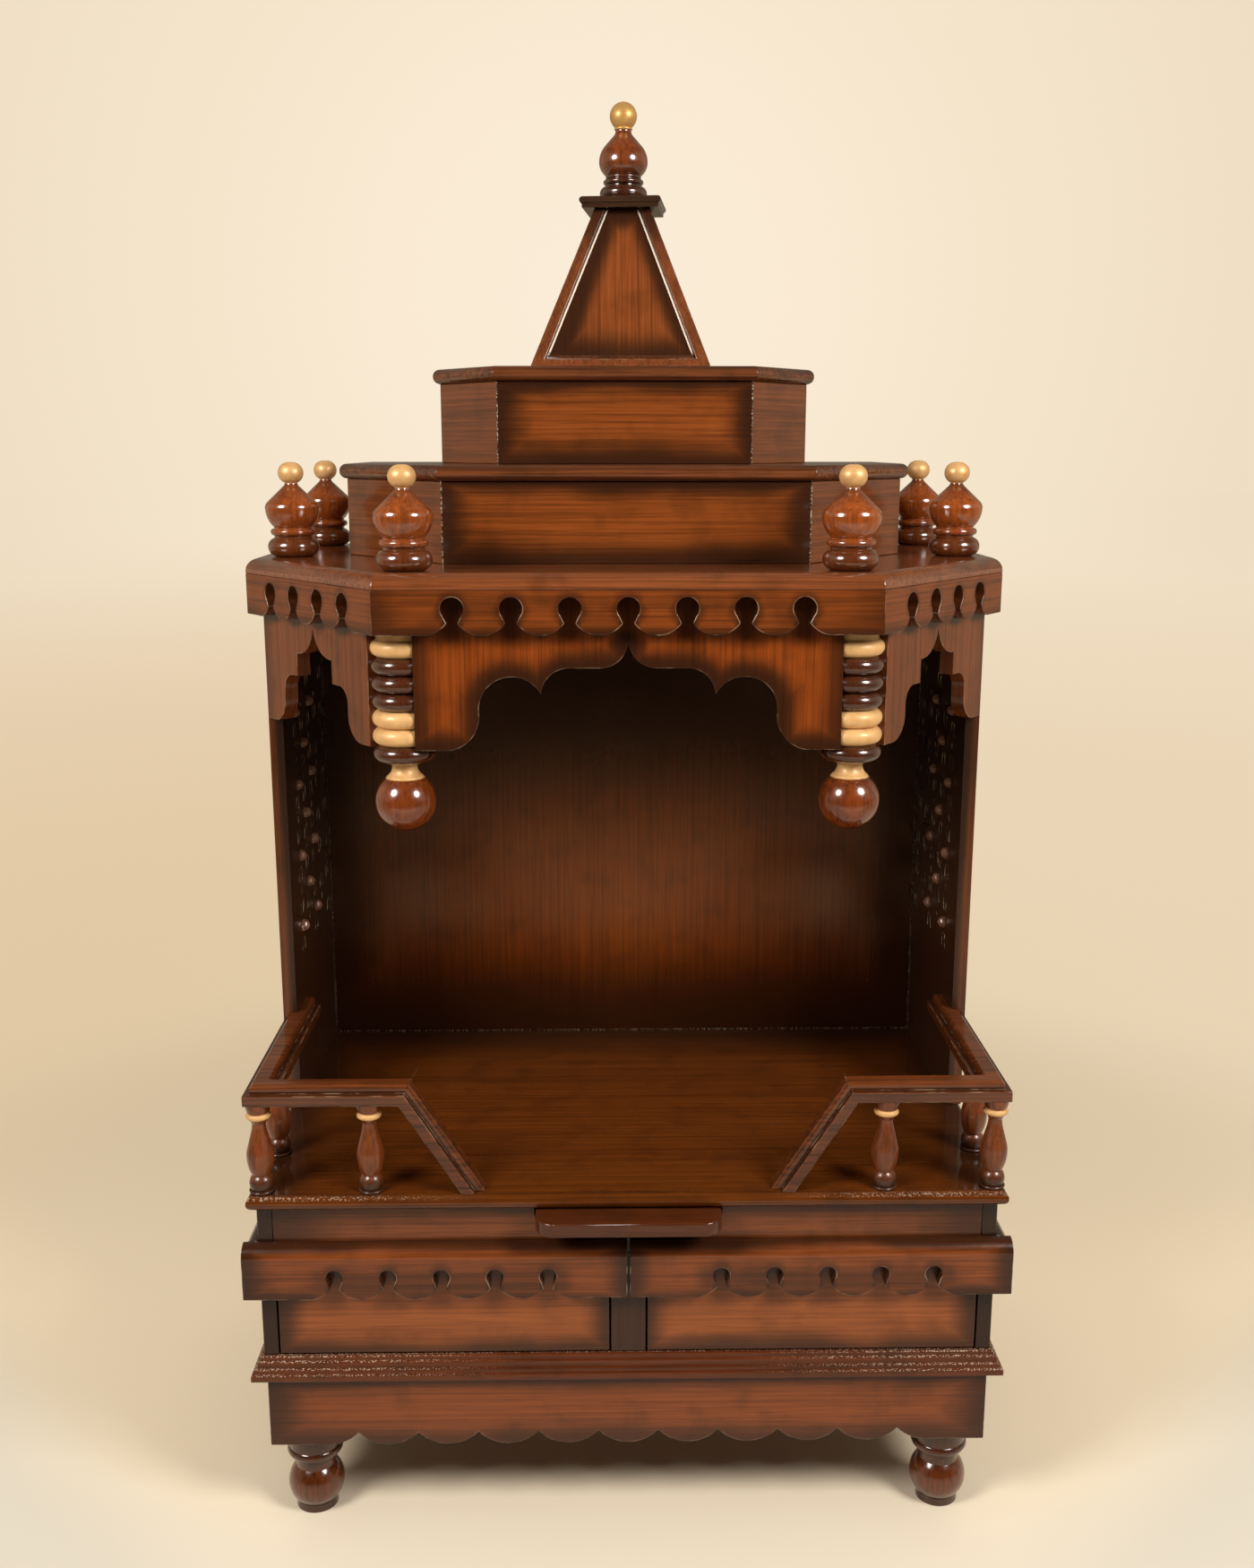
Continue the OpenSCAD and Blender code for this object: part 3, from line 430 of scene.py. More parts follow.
for side in ("left", "right"):
    node = f"drawer_{side}_fascia"
    low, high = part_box(node)

    # The eased edges below the rounded top are rubbed pale and carry a painted highlight.
    def top_rub_and_glint(x, y, z):
        return (z - low.z - ROUNDED_TOP).ease(0.0, -0.004) * 0.6

    eased(node, lacquered(node + "_lacquer", "X", rgb(132, 68, 30), rgb(84, 41, 18),
                          stain=fascia_stain(node, (low.x + high.x) / 2 + OFF_CENTRE),
                          edge=top_rub_and_glint), 0.0007)
eased("side_fascias", lacquered("side_fascia_lacquer", "Y", rgb(112, 58, 30), rgb(80, 41, 22),
                                stain=edge_burst("side_fascias", 0.014, "YZ")), 0.0007)

# ---------------------------------------------------------------------------
# Drawers: a flat front burst dark along its edges, on a plain box of thin
# board with a let-in bottom.
# ---------------------------------------------------------------------------
for side in ("left", "right"):
    node = f"drawer_{side}_front"
    front_stain = edge_burst(node, 0.028, sides=(1.1, 1.1, 0.9, 1.9), strength=0.85)
    eased(node, lacquered(node + "_lacquer", "X", rgb(152, 83, 39), rgb(112, 57, 26),
                          figure=0.8, stain=front_stain))
    node = f"drawer_{side}_box"
    eased(node, lacquered(node + "_lacquer", "Y", rgb(170, 118, 72), rgb(142, 92, 54),
                          rough=0.4))

# ---------------------------------------------------------------------------
# Pull-out tray: a thin board with round corners for the lamp, stained dark,
# which slides between the frieze's cheeks.
# ---------------------------------------------------------------------------
eased("tray", lacquered("tray_lacquer", "X", rgb(84, 40, 17), rgb(58, 27, 11), coat=0.3),
      0.0014)

# ---------------------------------------------------------------------------
# Shelf board: the floor of the shrine, a board with a rounded nosing in front
# and at the sides, lacquered to a mirror gloss.
# ---------------------------------------------------------------------------
shelf_low, shelf_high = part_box("shelf_board")
shelf_burst = edge_burst("shelf_board", 0.06, "XY", sides=(1.2, 1.2, 0.14, 2.0),
                         strength=0.92)


def shelf_glint(x, y, z):
    """A thin painted glint along the nosing, towards both ends."""
    rise = z - shelf_high.z
    line = rise.ease(-0.0036, -0.0022) * rise.ease(0.0, -0.0012)
    return (y - shelf_low.y).ease(0.008, 0.003) * line * abs(x).ease(0.10, 0.25) * 0.5


def shelf_stain(x, y, z, w):
    """Along the edges, but not on the face of the nosing."""
    return shelf_burst(x, y, z, w) * (y - shelf_low.y).ease(0.003, 0.007)


eased("shelf_board", lacquered("shelf_lacquer", "X", rgb(100, 50, 14), rgb(68, 32, 8),
                               rough=0.12, stain=shelf_stain, fleck=shelf_glint), 0.0006)

# ---------------------------------------------------------------------------
# Shrine sides: two tall boards pierced with leaves, and on each inner face a
# small carved flower glued at every other crossing of the piercing.
# ---------------------------------------------------------------------------
back_low, back_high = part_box("back_panel")
for side in ("left", "right"):
    node = f"side_panel_{side}"
    low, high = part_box(node)
    inner = min(abs(low.x), abs(high.x))

    def panel_stain_and_shade(x, y, z, w):
        """Over the inner face, and half as deep on the rest of the board behind its front
        edge; darker towards the top, painted shade under the canopy."""
        face = (abs(x) - inner).ease(0.010, 0.001) * 0.9
        behind = (y + w - low.y).ease(0.004, 0.012) * 0.5
        return face.max(behind) + (z + w * 2).ease(0.46, 0.66) * 0.4

    def slot_rim_rub_and_glint(x, y, z):
        """Rubbed pale, with painted glints, on the rims of the piercing, but not on the board's
        front edge.
        """
        return (y - low.y).ease(0.012, 0.020) * 0.9

    def back_seam(x, y, z):
        """The glue line where the back panel meets the board."""
        seam = abs(y - back_low.y + 0.0008).ease(0.0014, 0.0006)
        return seam * (abs(x) - inner).ease(0.001, 0.0) * 0.7

    eased(node, lacquered(node + "_lacquer", "Z", rgb(108, 58, 24), rgb(66, 33, 13), rough=0.3,
                          coat=0.1, stain=panel_stain_and_shade, edge=slot_rim_rub_and_glint, fleck=back_seam), 0.0005)

ROSETTE_R = 0.0047
ROSETTE_PROUD = 0.0066
PETALS = 6
COLUMNS, ROWS = 3, 7                    # crossings; every other one has a flower
FIRST_CROSSING = (0.043, 0.156)         # behind and above the board's front lower corner
CROSSING_STEP = (0.031, 0.032)


def rosette(place, inward):
    """A carved flower: a dome with six petals round a button, flat on the board and facing
    inward along x."""
    flower = bmesh.new()
    bmesh.ops.create_uvsphere(flower, u_segments=24, v_segments=10, radius=ROSETTE_R)
    cut = bmesh.ops.bisect_plane(flower, geom=flower.verts[:] + flower.edges[:] + flower.faces[:],
                                 plane_co=(0, 0, 0), plane_no=(0, 0, 1), clear_inner=True)
    rim = [g for g in cut["geom_cut"] if isinstance(g, bmesh.types.BMEdge)]
    bmesh.ops.contextual_create(flower, geom=rim)
    for v in flower.verts:
        out = v.co.xy.length / ROSETTE_R
        bearing = math.atan2(v.co.y, v.co.x)
        petal = 1 + 0.16 * abs(math.cos(PETALS / 2 * bearing)) * min(1, out * 1.6)
        groove = 0.22 * math.exp(-((out - 0.42) / 0.13) ** 2)
        v.co.z = ROSETTE_PROUD * v.co.z / ROSETTE_R * (1 - groove)
        v.co.xy *= petal
    upright = Matrix(((0, 0, inward), (1, 0, 0), (0, 1, 0))).to_4x4()
    bmesh.ops.transform(flower, matrix=Matrix.Translation(place) @ upright, verts=flower.verts)
    return flower


for side, inward in (("left", 1), ("right", -1)):
    low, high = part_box(f"side_panel_{side}")
    face = high.x if inward > 0 else low.x
    work = bmesh.new()
    for column in range(COLUMNS):
        for row in range(ROWS):
            if (column + row) % 2 == 0:
                place = Vector((face, low.y + FIRST_CROSSING[0] + CROSSING_STEP[0] * column,
                                low.z + FIRST_CROSSING[1] + CROSSING_STEP[1] * row))
                flower = rosette(place, inward)
                spare = bpy.data.meshes.new("flower")
                flower.to_mesh(spare)
                flower.free()
                work.from_mesh(spare)
                bpy.data.meshes.remove(spare)
    bmesh.ops.recalc_face_normals(work, faces=work.faces)
    for f in work.faces:
        f.smooth = True
    # The flowers' colour is paler than the board's: a painted highlight where the glossy carving
    # catches the light.
    flowers = made_piece(f"rosettes_{side}", work, lacquered(
        f"rosette_{side}_lacquer", "Z", rgb(136, 98, 76), rgb(92, 60, 44), rough=0.16, figure=0.6))
    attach(flowers, "mandir")
    material_slot(f"side_panel_{side}")

# ---------------------------------------------------------------------------
# Back panel: one veneered board glued between the sides, its grain upright,
# sprayed dark towards its sides and foot, with painted shade towards its top.
# ---------------------------------------------------------------------------


def back_stain_and_shade(x, y, z, w):
    # Dark stain along the sides and the foot; the darkening towards the top is painted shade under
    # the canopy.
    sides = (back_high.x - abs(x) + w).ease(0.085, 0.012) * 0.9
    foot = (z - back_low.z + w).ease(0.125, 0.014) * 0.95
    return (z + w * 2).ease(0.45, 0.66).max(sides).max(foot)


def back_glue(x, y, z):
    """A thin line down both sides and along the foot."""
    sides = (back_high.x - abs(x)).ease(0.0016, 0.0008)
    return sides.max((z - back_low.z).ease(0.0016, 0.0008)) * 0.6


veneer = lacquered("back_panel_lacquer", "Z", rgb(117, 53, 11), rgb(68, 30, 6), rough=0.24,
                   stain=back_stain_and_shade, fleck=back_glue, rings=18, figure=0.8, coat=0.0, ior=1.8,
                   burst_and_shade=rgb(29, 12, 4))
tint = veneer.node_tree.nodes["Principled BSDF"].inputs["Specular Tint"]
tint.default_value = (1.0, 0.62, 0.4, 1)
eased("back_panel", veneer)

# ---------------------------------------------------------------------------
# Handrails: a moulded strip with a rounded bar, mitred at the corner and at
# the bend, on three turned balusters with a gilt ring each.
# ---------------------------------------------------------------------------
RAIL_SLOPE = math.radians(57.4)     # of the falling end
RAIL_BEND = 0.1284                  # from the outer end in to where it starts to fall
BAR_STEP = 0.0062                   # the step under the bar, down from the rail's top
rail_low, rail_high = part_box("rail_right")


def rail_stain_and_shade(x, y, z, w):
    """Painted shade in the step under the bar; darker over the strip below it, and dark stain
    along the strip's lower edge.
    """
    down = rail_high.z - z
    falling = ((abs(x) - rail_high.x + RAIL_BEND) * math.sin(RAIL_SLOPE)
               + down * math.cos(RAIL_SLOPE))
    depth = down.min(falling)
    step_shade = abs(depth - BAR_STEP).ease(0.0014, 0.0004) * 0.7
    front = (y - rail_low.y + w * 0.2).ease(0.003, 0.0)
    under = depth.ease(0.0075, 0.009) * 0.35
    return step_shade.max(under).max(depth.ease(0.012, 0.0155) * 0.6 * front)


# The rails' eased edges are rubbed pale and carry a painted highlight.
for side in ("left", "right"):
    eased(f"rail_{side}", lacquered(f"rail_{side}_lacquer", "X", rgb(112, 56, 24),
                                    rgb(54, 27, 13), figure=1.2, rough=0.18, coat=0.25,
                                    stain=rail_stain_and_shade, edge=lambda x, y, z: 0.4), 0.0006)

GOLD = rgb(218, 171, 113)
GOLD_SHADE = rgb(188, 140, 80)      # the paint where it lies thin


def turned_finish(name, gilt, stain, bright, streak, metal=0.12, gold=GOLD,
                  gold_shade=GOLD_SHADE, rough=0.24, coat=1.0):
    """Red-brown turned wood, with gold paint where gilt(x, y, z) is 1."""
    material = lacquered(name, "Z", bright, streak, stain=stain, rough=rough, coat_rough=0.07)
    tree = material.node_tree
    shader = tree.nodes["Principled BSDF"]
    place = object_place(tree)
    paint = (place.cloudy(150.0, 2.0).ease(0.35, 0.75) * 0.4).mix(gold, gold_shade)
    wood = Field(tree, shader.inputs["Base Color"].links[0].from_socket)
    gloss = Field(tree, shader.inputs["Roughness"].links[0].from_socket)
    amount = gilt(*place.xyz())
    tree.links.new(amount.mix(wood, paint).socket, shader.inputs["Base Color"])
    tree.links.new((amount * metal).socket, shader.inputs["Metallic"])
    tree.links.new((gloss + amount * 0.22).socket, shader.inputs["Roughness"])
    tree.links.new(((1 - amount * 0.75) * coat).socket, shader.inputs["Coat Weight"])
    return material


def between(z, low, high, soft=0.0006):
    """1 from low to high, with soft ends."""
    return (z - low).ease(-soft, soft) * (high - z).ease(-soft, soft)


RING_DROP = 0.013                   # the gilt ring's lower edge under the baluster's top
RING_HEIGHT = 0.0052
ring_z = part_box("balusters_left")[1].z - RING_DROP


def ring_gilt(x, y, z):
    return between(z, ring_z, ring_z + RING_HEIGHT)


def baluster_stain(x, y, z, w):
    return (z + w * 0.3 - shelf_high.z).ease(0.018, 0.006) * 0.75


baluster_finish = turned_finish("baluster_lacquer", ring_gilt, baluster_stain,
                                rgb(126, 62, 24), rgb(74, 34, 12), rough=0.36, coat=0.45)
for side in ("left", "right"):
    finish(f"balusters_{side}", baluster_finish)

# ---------------------------------------------------------------------------
# Arches: a cusped softwood board in front and one at each slant, sawn to
# shape, with their grain upright and a dark burst along the sawn edge.
# ---------------------------------------------------------------------------
SLANT = math.radians(51.4)          # of the slanting sides, from straight across
SLANT_APART, SIDE_APART = 0.9, 1.9  # how far off in the wood these walls are taken from
# Half of the front arch's opening, from the middle of its foot: the inner corners of its
# square steps at (across, up), and its round cusps at (across, up, radius).
ARCH_STEPS = ((0.044, 0.0615), (0.0644, 0.0411), (0.1104, 0.0307), (0.0, 0.079))
ARCH_ROUNDS = ((0.044, 0.0411, 0.0204), (0.0862, 0.0307, 0.0244))
arch_low, arch_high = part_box("arch_front")


def slant_lay(front=0.0, side=9.0, back=9.0):
    """Across, into and up a wall that turns the corner at front to run with the slant, and
    turns again where it comes to side and to back."""
    def lay(x, y, z):
        slant = (abs(x) - front).ease(-0.0004, 0.0004) * (back - y).ease(0.0002, 0.001)
        along = abs(x) * math.cos(SLANT) + y * math.sin(SLANT) + SLANT_APART
        deep = abs(x) * math.sin(SLANT) - y * math.cos(SLANT)
        last = (side - abs(x)).ease(0.001, 0.0002) * slant
        along = x + (along - x) * slant
        deep = y + (deep - y) * slant
        return along + (y + SIDE_APART - along) * last, deep + (abs(x) - deep) * last, z
    return lay


def arch_stain_and_shade(x, y, z, w):
    """Dark stain along the sawn edge and towards both ends, and painted shade up behind the
    fascia.
    """
    across = abs(x)
    edge = up = z - arch_low.z
    for step_across, step_up in ARCH_STEPS:
        edge = edge.min((across - step_across).max(up - step_up))
    for round_across, round_up, radius in ARCH_ROUNDS:
        edge = edge.min((across - round_across).reach(up - round_up) - radius)
    ends = (arch_high.x - across + w).ease(0.026, 0.0) * 0.8
    behind = (z - arch_high.z + 0.033 + w * 0.3).ease(-0.016, 0.002) * 0.7
    return (edge + w * 0.7).ease(0.026, 0.0).max(ends).max(behind)


# Rubbed pale, with a painted highlight, on the eased edges short of the ends.
def arch_rub_and_glint(x, y, z):
    return (arch_high.x - 0.003 - abs(x)).ease(0.0, 0.003) * 0.45


eased("arch_front", lacquered("arch_lacquer", "Z", rgb(138, 65, 21), rgb(82, 36, 10), rings=20,
                              figure=0.85, stain=arch_stain_and_shade, edge=arch_rub_and_glint), 0.0006)
for side in ("left", "right"):
    node = f"arch_{side}"
    outer = max(abs(corner.x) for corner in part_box(node))

    def slant_arch_stain_and_shade(x, y, z, w):
        # Painted shade behind the fascia, and dark stain along the outer edge.
        behind = (z - arch_high.z + 0.031).ease(-0.012, 0.002)
        return behind.max((outer - abs(x) + w).ease(0.013, 0.0) * 0.6) * 0.9

    # The eased edges are rubbed pale with a painted highlight.
    eased(node, lacquered(node + "_lacquer", "Z", rgb(114, 58, 26), rgb(78, 38, 16), rings=18,
                          stain=slant_arch_stain_and_shade, edge=lambda x, y, z: 0.4, lay=slant_lay()),
          0.0006)

# ---------------------------------------------------------------------------
# Pendants: drops turned from red-brown hardwood at the canopy's corners, seven
# discs over a flared neck and a ball, some of them gilt.
# ---------------------------------------------------------------------------
PENDANT_GILT = ((0.0412, 0.0537), (0.0673, 0.0939), (0.1338, 0.20))   # up from its tip
drop_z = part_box("pendant_left")[0].z


def pendant_gilt(x, y, z):
    return most(between(z - drop_z, low, high) for low, high in PENDANT_GILT)


def pendant_stain(x, y, z, w):
    return (z - drop_z + w * 0.3).ease(0.030, 0.060) * 0.7


pendant_finish = turned_finish("pendant_lacquer", pendant_gilt, pendant_stain,
                               rgb(124, 56, 18), rgb(72, 31, 10), coat=0.8)
for side in ("left", "right"):
    finish(f"pendant_{side}", pendant_finish)

# ---------------------------------------------------------------------------
# Canopy: a broad board with a keyholed fascia mitred round its front, slants
# and sides, and a rounded edge of its own over it.
# ---------------------------------------------------------------------------
CANOPY_KEYHOLES, CANOPY_PITCH = 7, 0.0426
SLANT_KEYHOLES, SLANT_PITCH = 4, 0.0381
CANOPY_KEYHOLE_Z = 0.0196           # a hole's middle over the fascia's lower edge
CANOPY_KEYHOLE_R = 0.0084
canopy_low, canopy_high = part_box("canopy_fascia_front")
slants_low, slants_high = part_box("canopy_fascia_slants")
slant_run = (slants_high.y - slants_low.y) / math.tan(SLANT)
slant_middle = ((slants_high.x - slant_run / 2) * math.cos(SLANT)
                + (slants_low.y + slants_high.y) / 2 * math.sin(SLANT))


def canopy_stain(x, y, z, w):
    """Round the holes, along both edges and towards the ends."""
    up = z + w * 0.3 - canopy_low.z - CANOPY_KEYHOLE_Z
    holes = keyhole_burst(x, up, 0.0, CANOPY_KEYHOLES, CANOPY_PITCH, CANOPY_KEYHOLE_R, 0.013)
    lower = (z - canopy_low.z + w * 0.5).ease(0.013, 0.0) * 0.85
    ends = (abs(x) + w * 2).ease(0.140, 0.195) * 0.65
    upper = abs(z - canopy_high.z + 0.0085 + w * 0.3).ease(0.006, 0.001) * 0.38
    holes = holes * row_span(x, 0.0, CANOPY_KEYHOLES, CANOPY_PITCH)
    return holes.max(lower).max(ends).max(upper)


def slant_stain(x, y, z, w):
    """Round the holes and along the lower edge."""
    along = abs(x) * math.cos(SLANT) + y * math.sin(SLANT)
    up = z + w * 0.3 - canopy_low.z - CANOPY_KEYHOLE_Z
    holes = keyhole_burst(along, up, slant_middle, SLANT_KEYHOLES, SLANT_PITCH,
                          CANOPY_KEYHOLE_R, 0.009)
    holes = holes * row_span(along, slant_middle, SLANT_KEYHOLES, SLANT_PITCH) * 0.8
    return holes.max((z - canopy_low.z + w * 0.5).ease(0.014, 0.0) * 0.7)


def canopy_rub_and_glint(x, y, z):
    """All the fascia's edges but those at its top and at its mitres, rubbed pale with a painted
    highlight.
    """
    return ((canopy_high.z - z).ease(0.002, 0.005)
            * (canopy_high.x - abs(x)).ease(0.001, 0.004) * 0.6)


def canopy_top_highlight(x, y, z):
    """A painted highlight: a pale line along the fascia's top, under the board."""
    return (canopy_high.z - z).ease(0.0022, 0.0004) * (y - canopy_low.y).ease(0.002, 0.005) * 0.7


# The slanting and side fascias' eased edges are rubbed pale with a painted highlight.
def slant_rub_and_glint(x, y, z):
    return (canopy_high.z - z).ease(0.002, 0.005) * 0.4


eased("canopy_fascia_front", lacquered("canopy_lacquer", "X", rgb(128, 63, 24), rgb(80, 39, 15),
                                       stain=canopy_stain, edge=canopy_rub_and_glint,
                                       fleck=canopy_top_highlight), 0.0007)
sides_stain = edge_burst("canopy_fascia_sides", 0.014, "YZ", 0.7)
for node, grain, lay, stain in (("canopy_fascia_slants", "X", slant_lay(), slant_stain),
                                ("canopy_fascia_sides", "Y", None, sides_stain)):
    eased(node, lacquered(node + "_lacquer", grain, rgb(118, 60, 27), rgb(82, 41, 19), lay=lay,
                          coat=0.0, stain=stain, edge=slant_rub_and_glint), 0.0007)
board_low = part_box("canopy_board")[0]


def board_stain(x, y, z, w):
    return (z - board_low.z + w * 0.4).ease(0.004, 0.012) * 0.3


eased("canopy_board", lacquered("canopy_board_lacquer", "X", rgb(128, 70, 37), rgb(82, 43, 21),
                                rough=0.16, stain=board_stain, coat=0.4))

# ---------------------------------------------------------------------------
# Tiers: two low boxes of three-sided fronts, each under a top board with a
# rounded nosing. The mitres of the walls are filled with a pale line.
# ---------------------------------------------------------------------------
for tier in ("lower", "upper"):
    node = f"{tier}_tier_walls"
    low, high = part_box(node)
    front = max(abs(v.co.x) for v in frame["nodes"][node].data.vertices
                if v.co.y < low.y + 1e-4)

    def wall_stain_and_light(x, y, z, w):
        """At the mitres, the foot and the top; weaker on the slanting walls, painted light for the
        pale room they mirror.
        """
        corner = (front - abs(x) + w).ease(0.036, 0.0)
        level = (z - low.z + w).ease(0.030, 0.0).max((high.z - z + w).ease(0.018, 0.0))
        slant = (abs(x) - front).ease(0.0, 0.0006)
        return corner.max(level) * (1 - slant * 0.6) * 0.95

    def mitre_line(x, y, z):
        return abs(abs(x) - front).ease(0.0008, 0.0003) * 0.8

    def nosing_stain(x, y, z, w):
        return (z + w * 0.3 - high.z).ease(0.004, 0.012) * 0.6

    eased(node, lacquered(node + "_lacquer", "X", rgb(140, 72, 28), rgb(90, 44, 17),
                          stain=wall_stain_and_light, fleck=mitre_line,
                          lay=slant_lay(front, high.x, high.y)))
    node = f"{tier}_tier_top"
    eased(node, lacquered(node + "_lacquer", "X", rgb(120, 66, 34), rgb(58, 29, 16), figure=1.3,
                          rings=22, stain=nosing_stain), 0.0006)

# ---------------------------------------------------------------------------
# Spire: four leaning panels with upright grain, held by a dark frame with a
# bead on three sides of each window, under a square cap plate of two layers.
# ---------------------------------------------------------------------------
FOOT_HALF = 0.0585                  # a panel's half width at its foot
FOOT_TO_TOP = 0.047                 # by how much less it is at the top
SPIRE_TURN = math.radians(-2.8)
LEAN = 0.3904                       # how far a side leans in for each unit of height
FRAME_HALF = 0.0742                 # the frame's half width at its foot
spire_low, spire_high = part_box("spire_panels")
spire_y = (spire_low.y + spire_high.y) / 2
frame_low, frame_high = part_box("spire_frame")
frame_y = (frame_low.y + frame_high.y) / 2
SIDES_APART = 0.7                   # how far off in the wood the side panels are taken from


def spire_stain(x, y, z, w):
    """Round the edge of each panel."""
    rise = (z - spire_low.z) / (spire_high.z - spire_low.z)
    across = abs(x).min(abs(y - spire_y))
    edge = (FOOT_HALF - rise * FOOT_TO_TOP - across + w * 0.6).ease(0.023, 0.003)
    foot = (z - spire_low.z - 0.009 + w).ease(0.034, 0.0)
    return edge.max(foot).max((spire_high.z - z + w).ease(0.030, 0.008)) * 0.95


def spire_lay(x, y, z):
    """Across a panel, and along it, whichever side of the spire it is on."""
    front = (abs(y - spire_y) - abs(x)).ease(-0.002, 0.002)
    return x * front + (y - spire_y + SIDES_APART) * (1 - front), 0.0, z


def frame_stain(x, y, z, w):
    """Dark towards the cap plate and along the four leaning corners."""
    across = abs(x).min(abs(y - frame_y))
    corner = (FRAME_HALF - (z - frame_low.z) * LEAN - across + w * 0.1).ease(0.0045, 0.0)
    return (frame_high.z - z + w).ease(0.055, 0.008).max(corner * 0.8) * 0.8


eased("spire_panels", lacquered("spire_lacquer", "Z", rgb(132, 69, 31), rgb(76, 35, 14),
                                stain=spire_stain, lay=spire_lay, figure=0.8))
# The frame's eased edges are rubbed pale and carry a painted highlight.
eased("spire_frame", lacquered("spire_frame_lacquer", "Z", rgb(122, 66, 35), rgb(82, 42, 22),
                               coat=0.5, stain=frame_stain, edge=lambda x, y, z: 0.3), 0.0008)

BEAD_R = 0.0015
BEAD_IN = 0.0002                    # how deep the bead is let into the frame's face
FRAME_FACE = 0.07125                # the frame's face out from its middle, at its foot
WINDOW_HALF = 0.0646                # the window's half width, if it ran on down to the foot
WINDOW_FOOT, WINDOW_HEAD = 0.0064, 0.1295
BEAD_CORNERS = ((1, WINDOW_HEAD, 0), (1, WINDOW_FOOT, 1),     # side, height, mitred or not
                (-1, WINDOW_FOOT, 1), (-1, WINDOW_HEAD, 0))


def bead_end(side, up, mitred):
    """Lays the bead's profile at one corner of a window. In the profile, x runs in from the
    window's edge and y out from the frame's face."""
    inward = math.hypot(1, LEAN) + LEAN * mitred
    return Matrix(((-side * inward, 0, 0, side * (WINDOW_HALF - LEAN * up)),
                   (LEAN * mitred, -1, 0, LEAN * up - FRAME_FACE + BEAD_IN),
                   (mitred, 0, 1, up),
                   (0, 0, 0, 1)))


# The profile is a closed half circle, drawn out three times along a window's edge
work = bmesh.new()
start = work.verts.new((0, 0, 0))
bmesh.ops.spin(work, geom=[start], cent=(BEAD_R, 0, 0), axis=(0, 0, -1), angle=math.pi, steps=8)
bmesh.ops.contextual_create(work, geom=[v for v in work.verts if len(v.link_edges) == 1])
profile = work.edges[:]
ends = [work.verts[:]]
bmesh.ops.contextual_create(work, geom=profile)
for corner in BEAD_CORNERS[1:]:
    grown = bmesh.ops.extrude_edge_only(work, edges=profile)["geom"]
    profile = [g for g in grown if isinstance(g, bmesh.types.BMEdge)]
    ends.append([g for g in grown if isinstance(g, bmesh.types.BMVert)])
bmesh.ops.contextual_create(work, geom=profile)
for end, corner in zip(ends, BEAD_CORNERS):
    bmesh.ops.transform(work, matrix=bead_end(*corner), verts=end)

# The first window's bead is turned with the spire, and copied to the other three
middle = Vector((0, frame_y, frame_low.z))
bmesh.ops.transform(work, matrix=Matrix.Translation(middle) @ Matrix.Rotation(SPIRE_TURN, 4, "Z"),
                    verts=work.verts)
bmesh.ops.spin(work, geom=work.verts[:] + work.edges[:] + work.faces[:], cent=middle,
               axis=(0, 0, 1), angle=math.radians(270), steps=3, use_duplicate=True)
bmesh.ops.recalc_face_normals(work, faces=work.faces)
# The bead's upward-facing faces get the pale colour, a painted highlight along it.
crest = work.loops.layers.float_color.new("edge")
for face in work.faces:
    face.smooth = len(face.verts) == 4
    lit = face.smooth and face.normal.z > 0.25
    for loop in face.loops:
        loop[crest] = (1, 1, 1, 1) if lit else (0, 0, 0, 1)


def bead_highlight(x, y, z):
    """A painted highlight, nearly white, down the leaning sides, and not along the foot."""
    return (z - frame_low.z).ease(0.009, 0.013) * 1.95


beads = made_piece("spire_beads", work, lacquered(
    "spire_bead_lacquer", "Z", rgb(84, 46, 27), rgb(60, 32, 19), rough=0.12, coat=1.0,
    coat_rough=0.05, rub_and_glint=rgb(232, 216, 196), edge=bead_highlight))
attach(beads, "mandir")
material_slot("spire_frame")
eased("cap_plate", lacquered("cap_lacquer", "X", rgb(60, 38, 24), rgb(42, 27, 18), rough=0.15),
      0.0005)

# ---------------------------------------------------------------------------
# Finials: onion-shaped turnings of red-brown hardwood with a gilt ball, glued
# to the canopy and to the cap plate.
# ---------------------------------------------------------------------------
finial_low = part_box("finials_front")[0]
top_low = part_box("top_finial")[0]


def small_gilt(x, y, z):
    return (z - finial_low.z).ease(0.0590, 0.0602)


def small_stain(x, y, z, w):
    """Under the onion's belly, and at its neck."""
    up = z - finial_low.z + w * 0.5
    return (up.ease(0.026, 0.014) * 0.6).max(up.ease(0.044, 0.056) * 0.45)


def top_gilt(x, y, z):
    return (z - top_low.z).ease(0.0560, 0.0572)


def top_stain(x, y, z, w):
    return (z - top_low.z + w).ease(0.034, 0.014) * 0.75


small_finish = turned_finish("finial_lacquer", small_gilt, small_stain, rgb(150, 73, 24),
                             rgb(96, 43, 14), metal=0.35)
for place in ("front", "middle", "back"):
    finish(f"finials_{place}", small_finish)
finish("top_finial", turned_finish("top_finial_lacquer", top_gilt, top_stain, rgb(132, 64, 26),
                                   rgb(84, 38, 15), metal=0.5, gold=rgb(206, 160, 92),
                                   gold_shade=rgb(168, 120, 62)))

# ---------------------------------------------------------------------------
# The studio: a pale floor that runs out to a pale surround, a soft box to each
# side of the camera, and the camera before the shrine, a little above it.
# ---------------------------------------------------------------------------
ROOM = rgb(241, 224, 198)           # the light that the surround throws on the shrine
# The surround behind the shrine as the camera sees it, out from the halo's middle
HALO = [(0.0, rgb(251, 237, 216)), (0.15, rgb(249, 233, 210)), (0.26, rgb(244, 228, 202)),
        (0.45, rgb(236, 219, 193))]
HALO_UP = 0.09                      # its middle over the horizon, for each unit of distance
CAMERA_BACK = 1.28
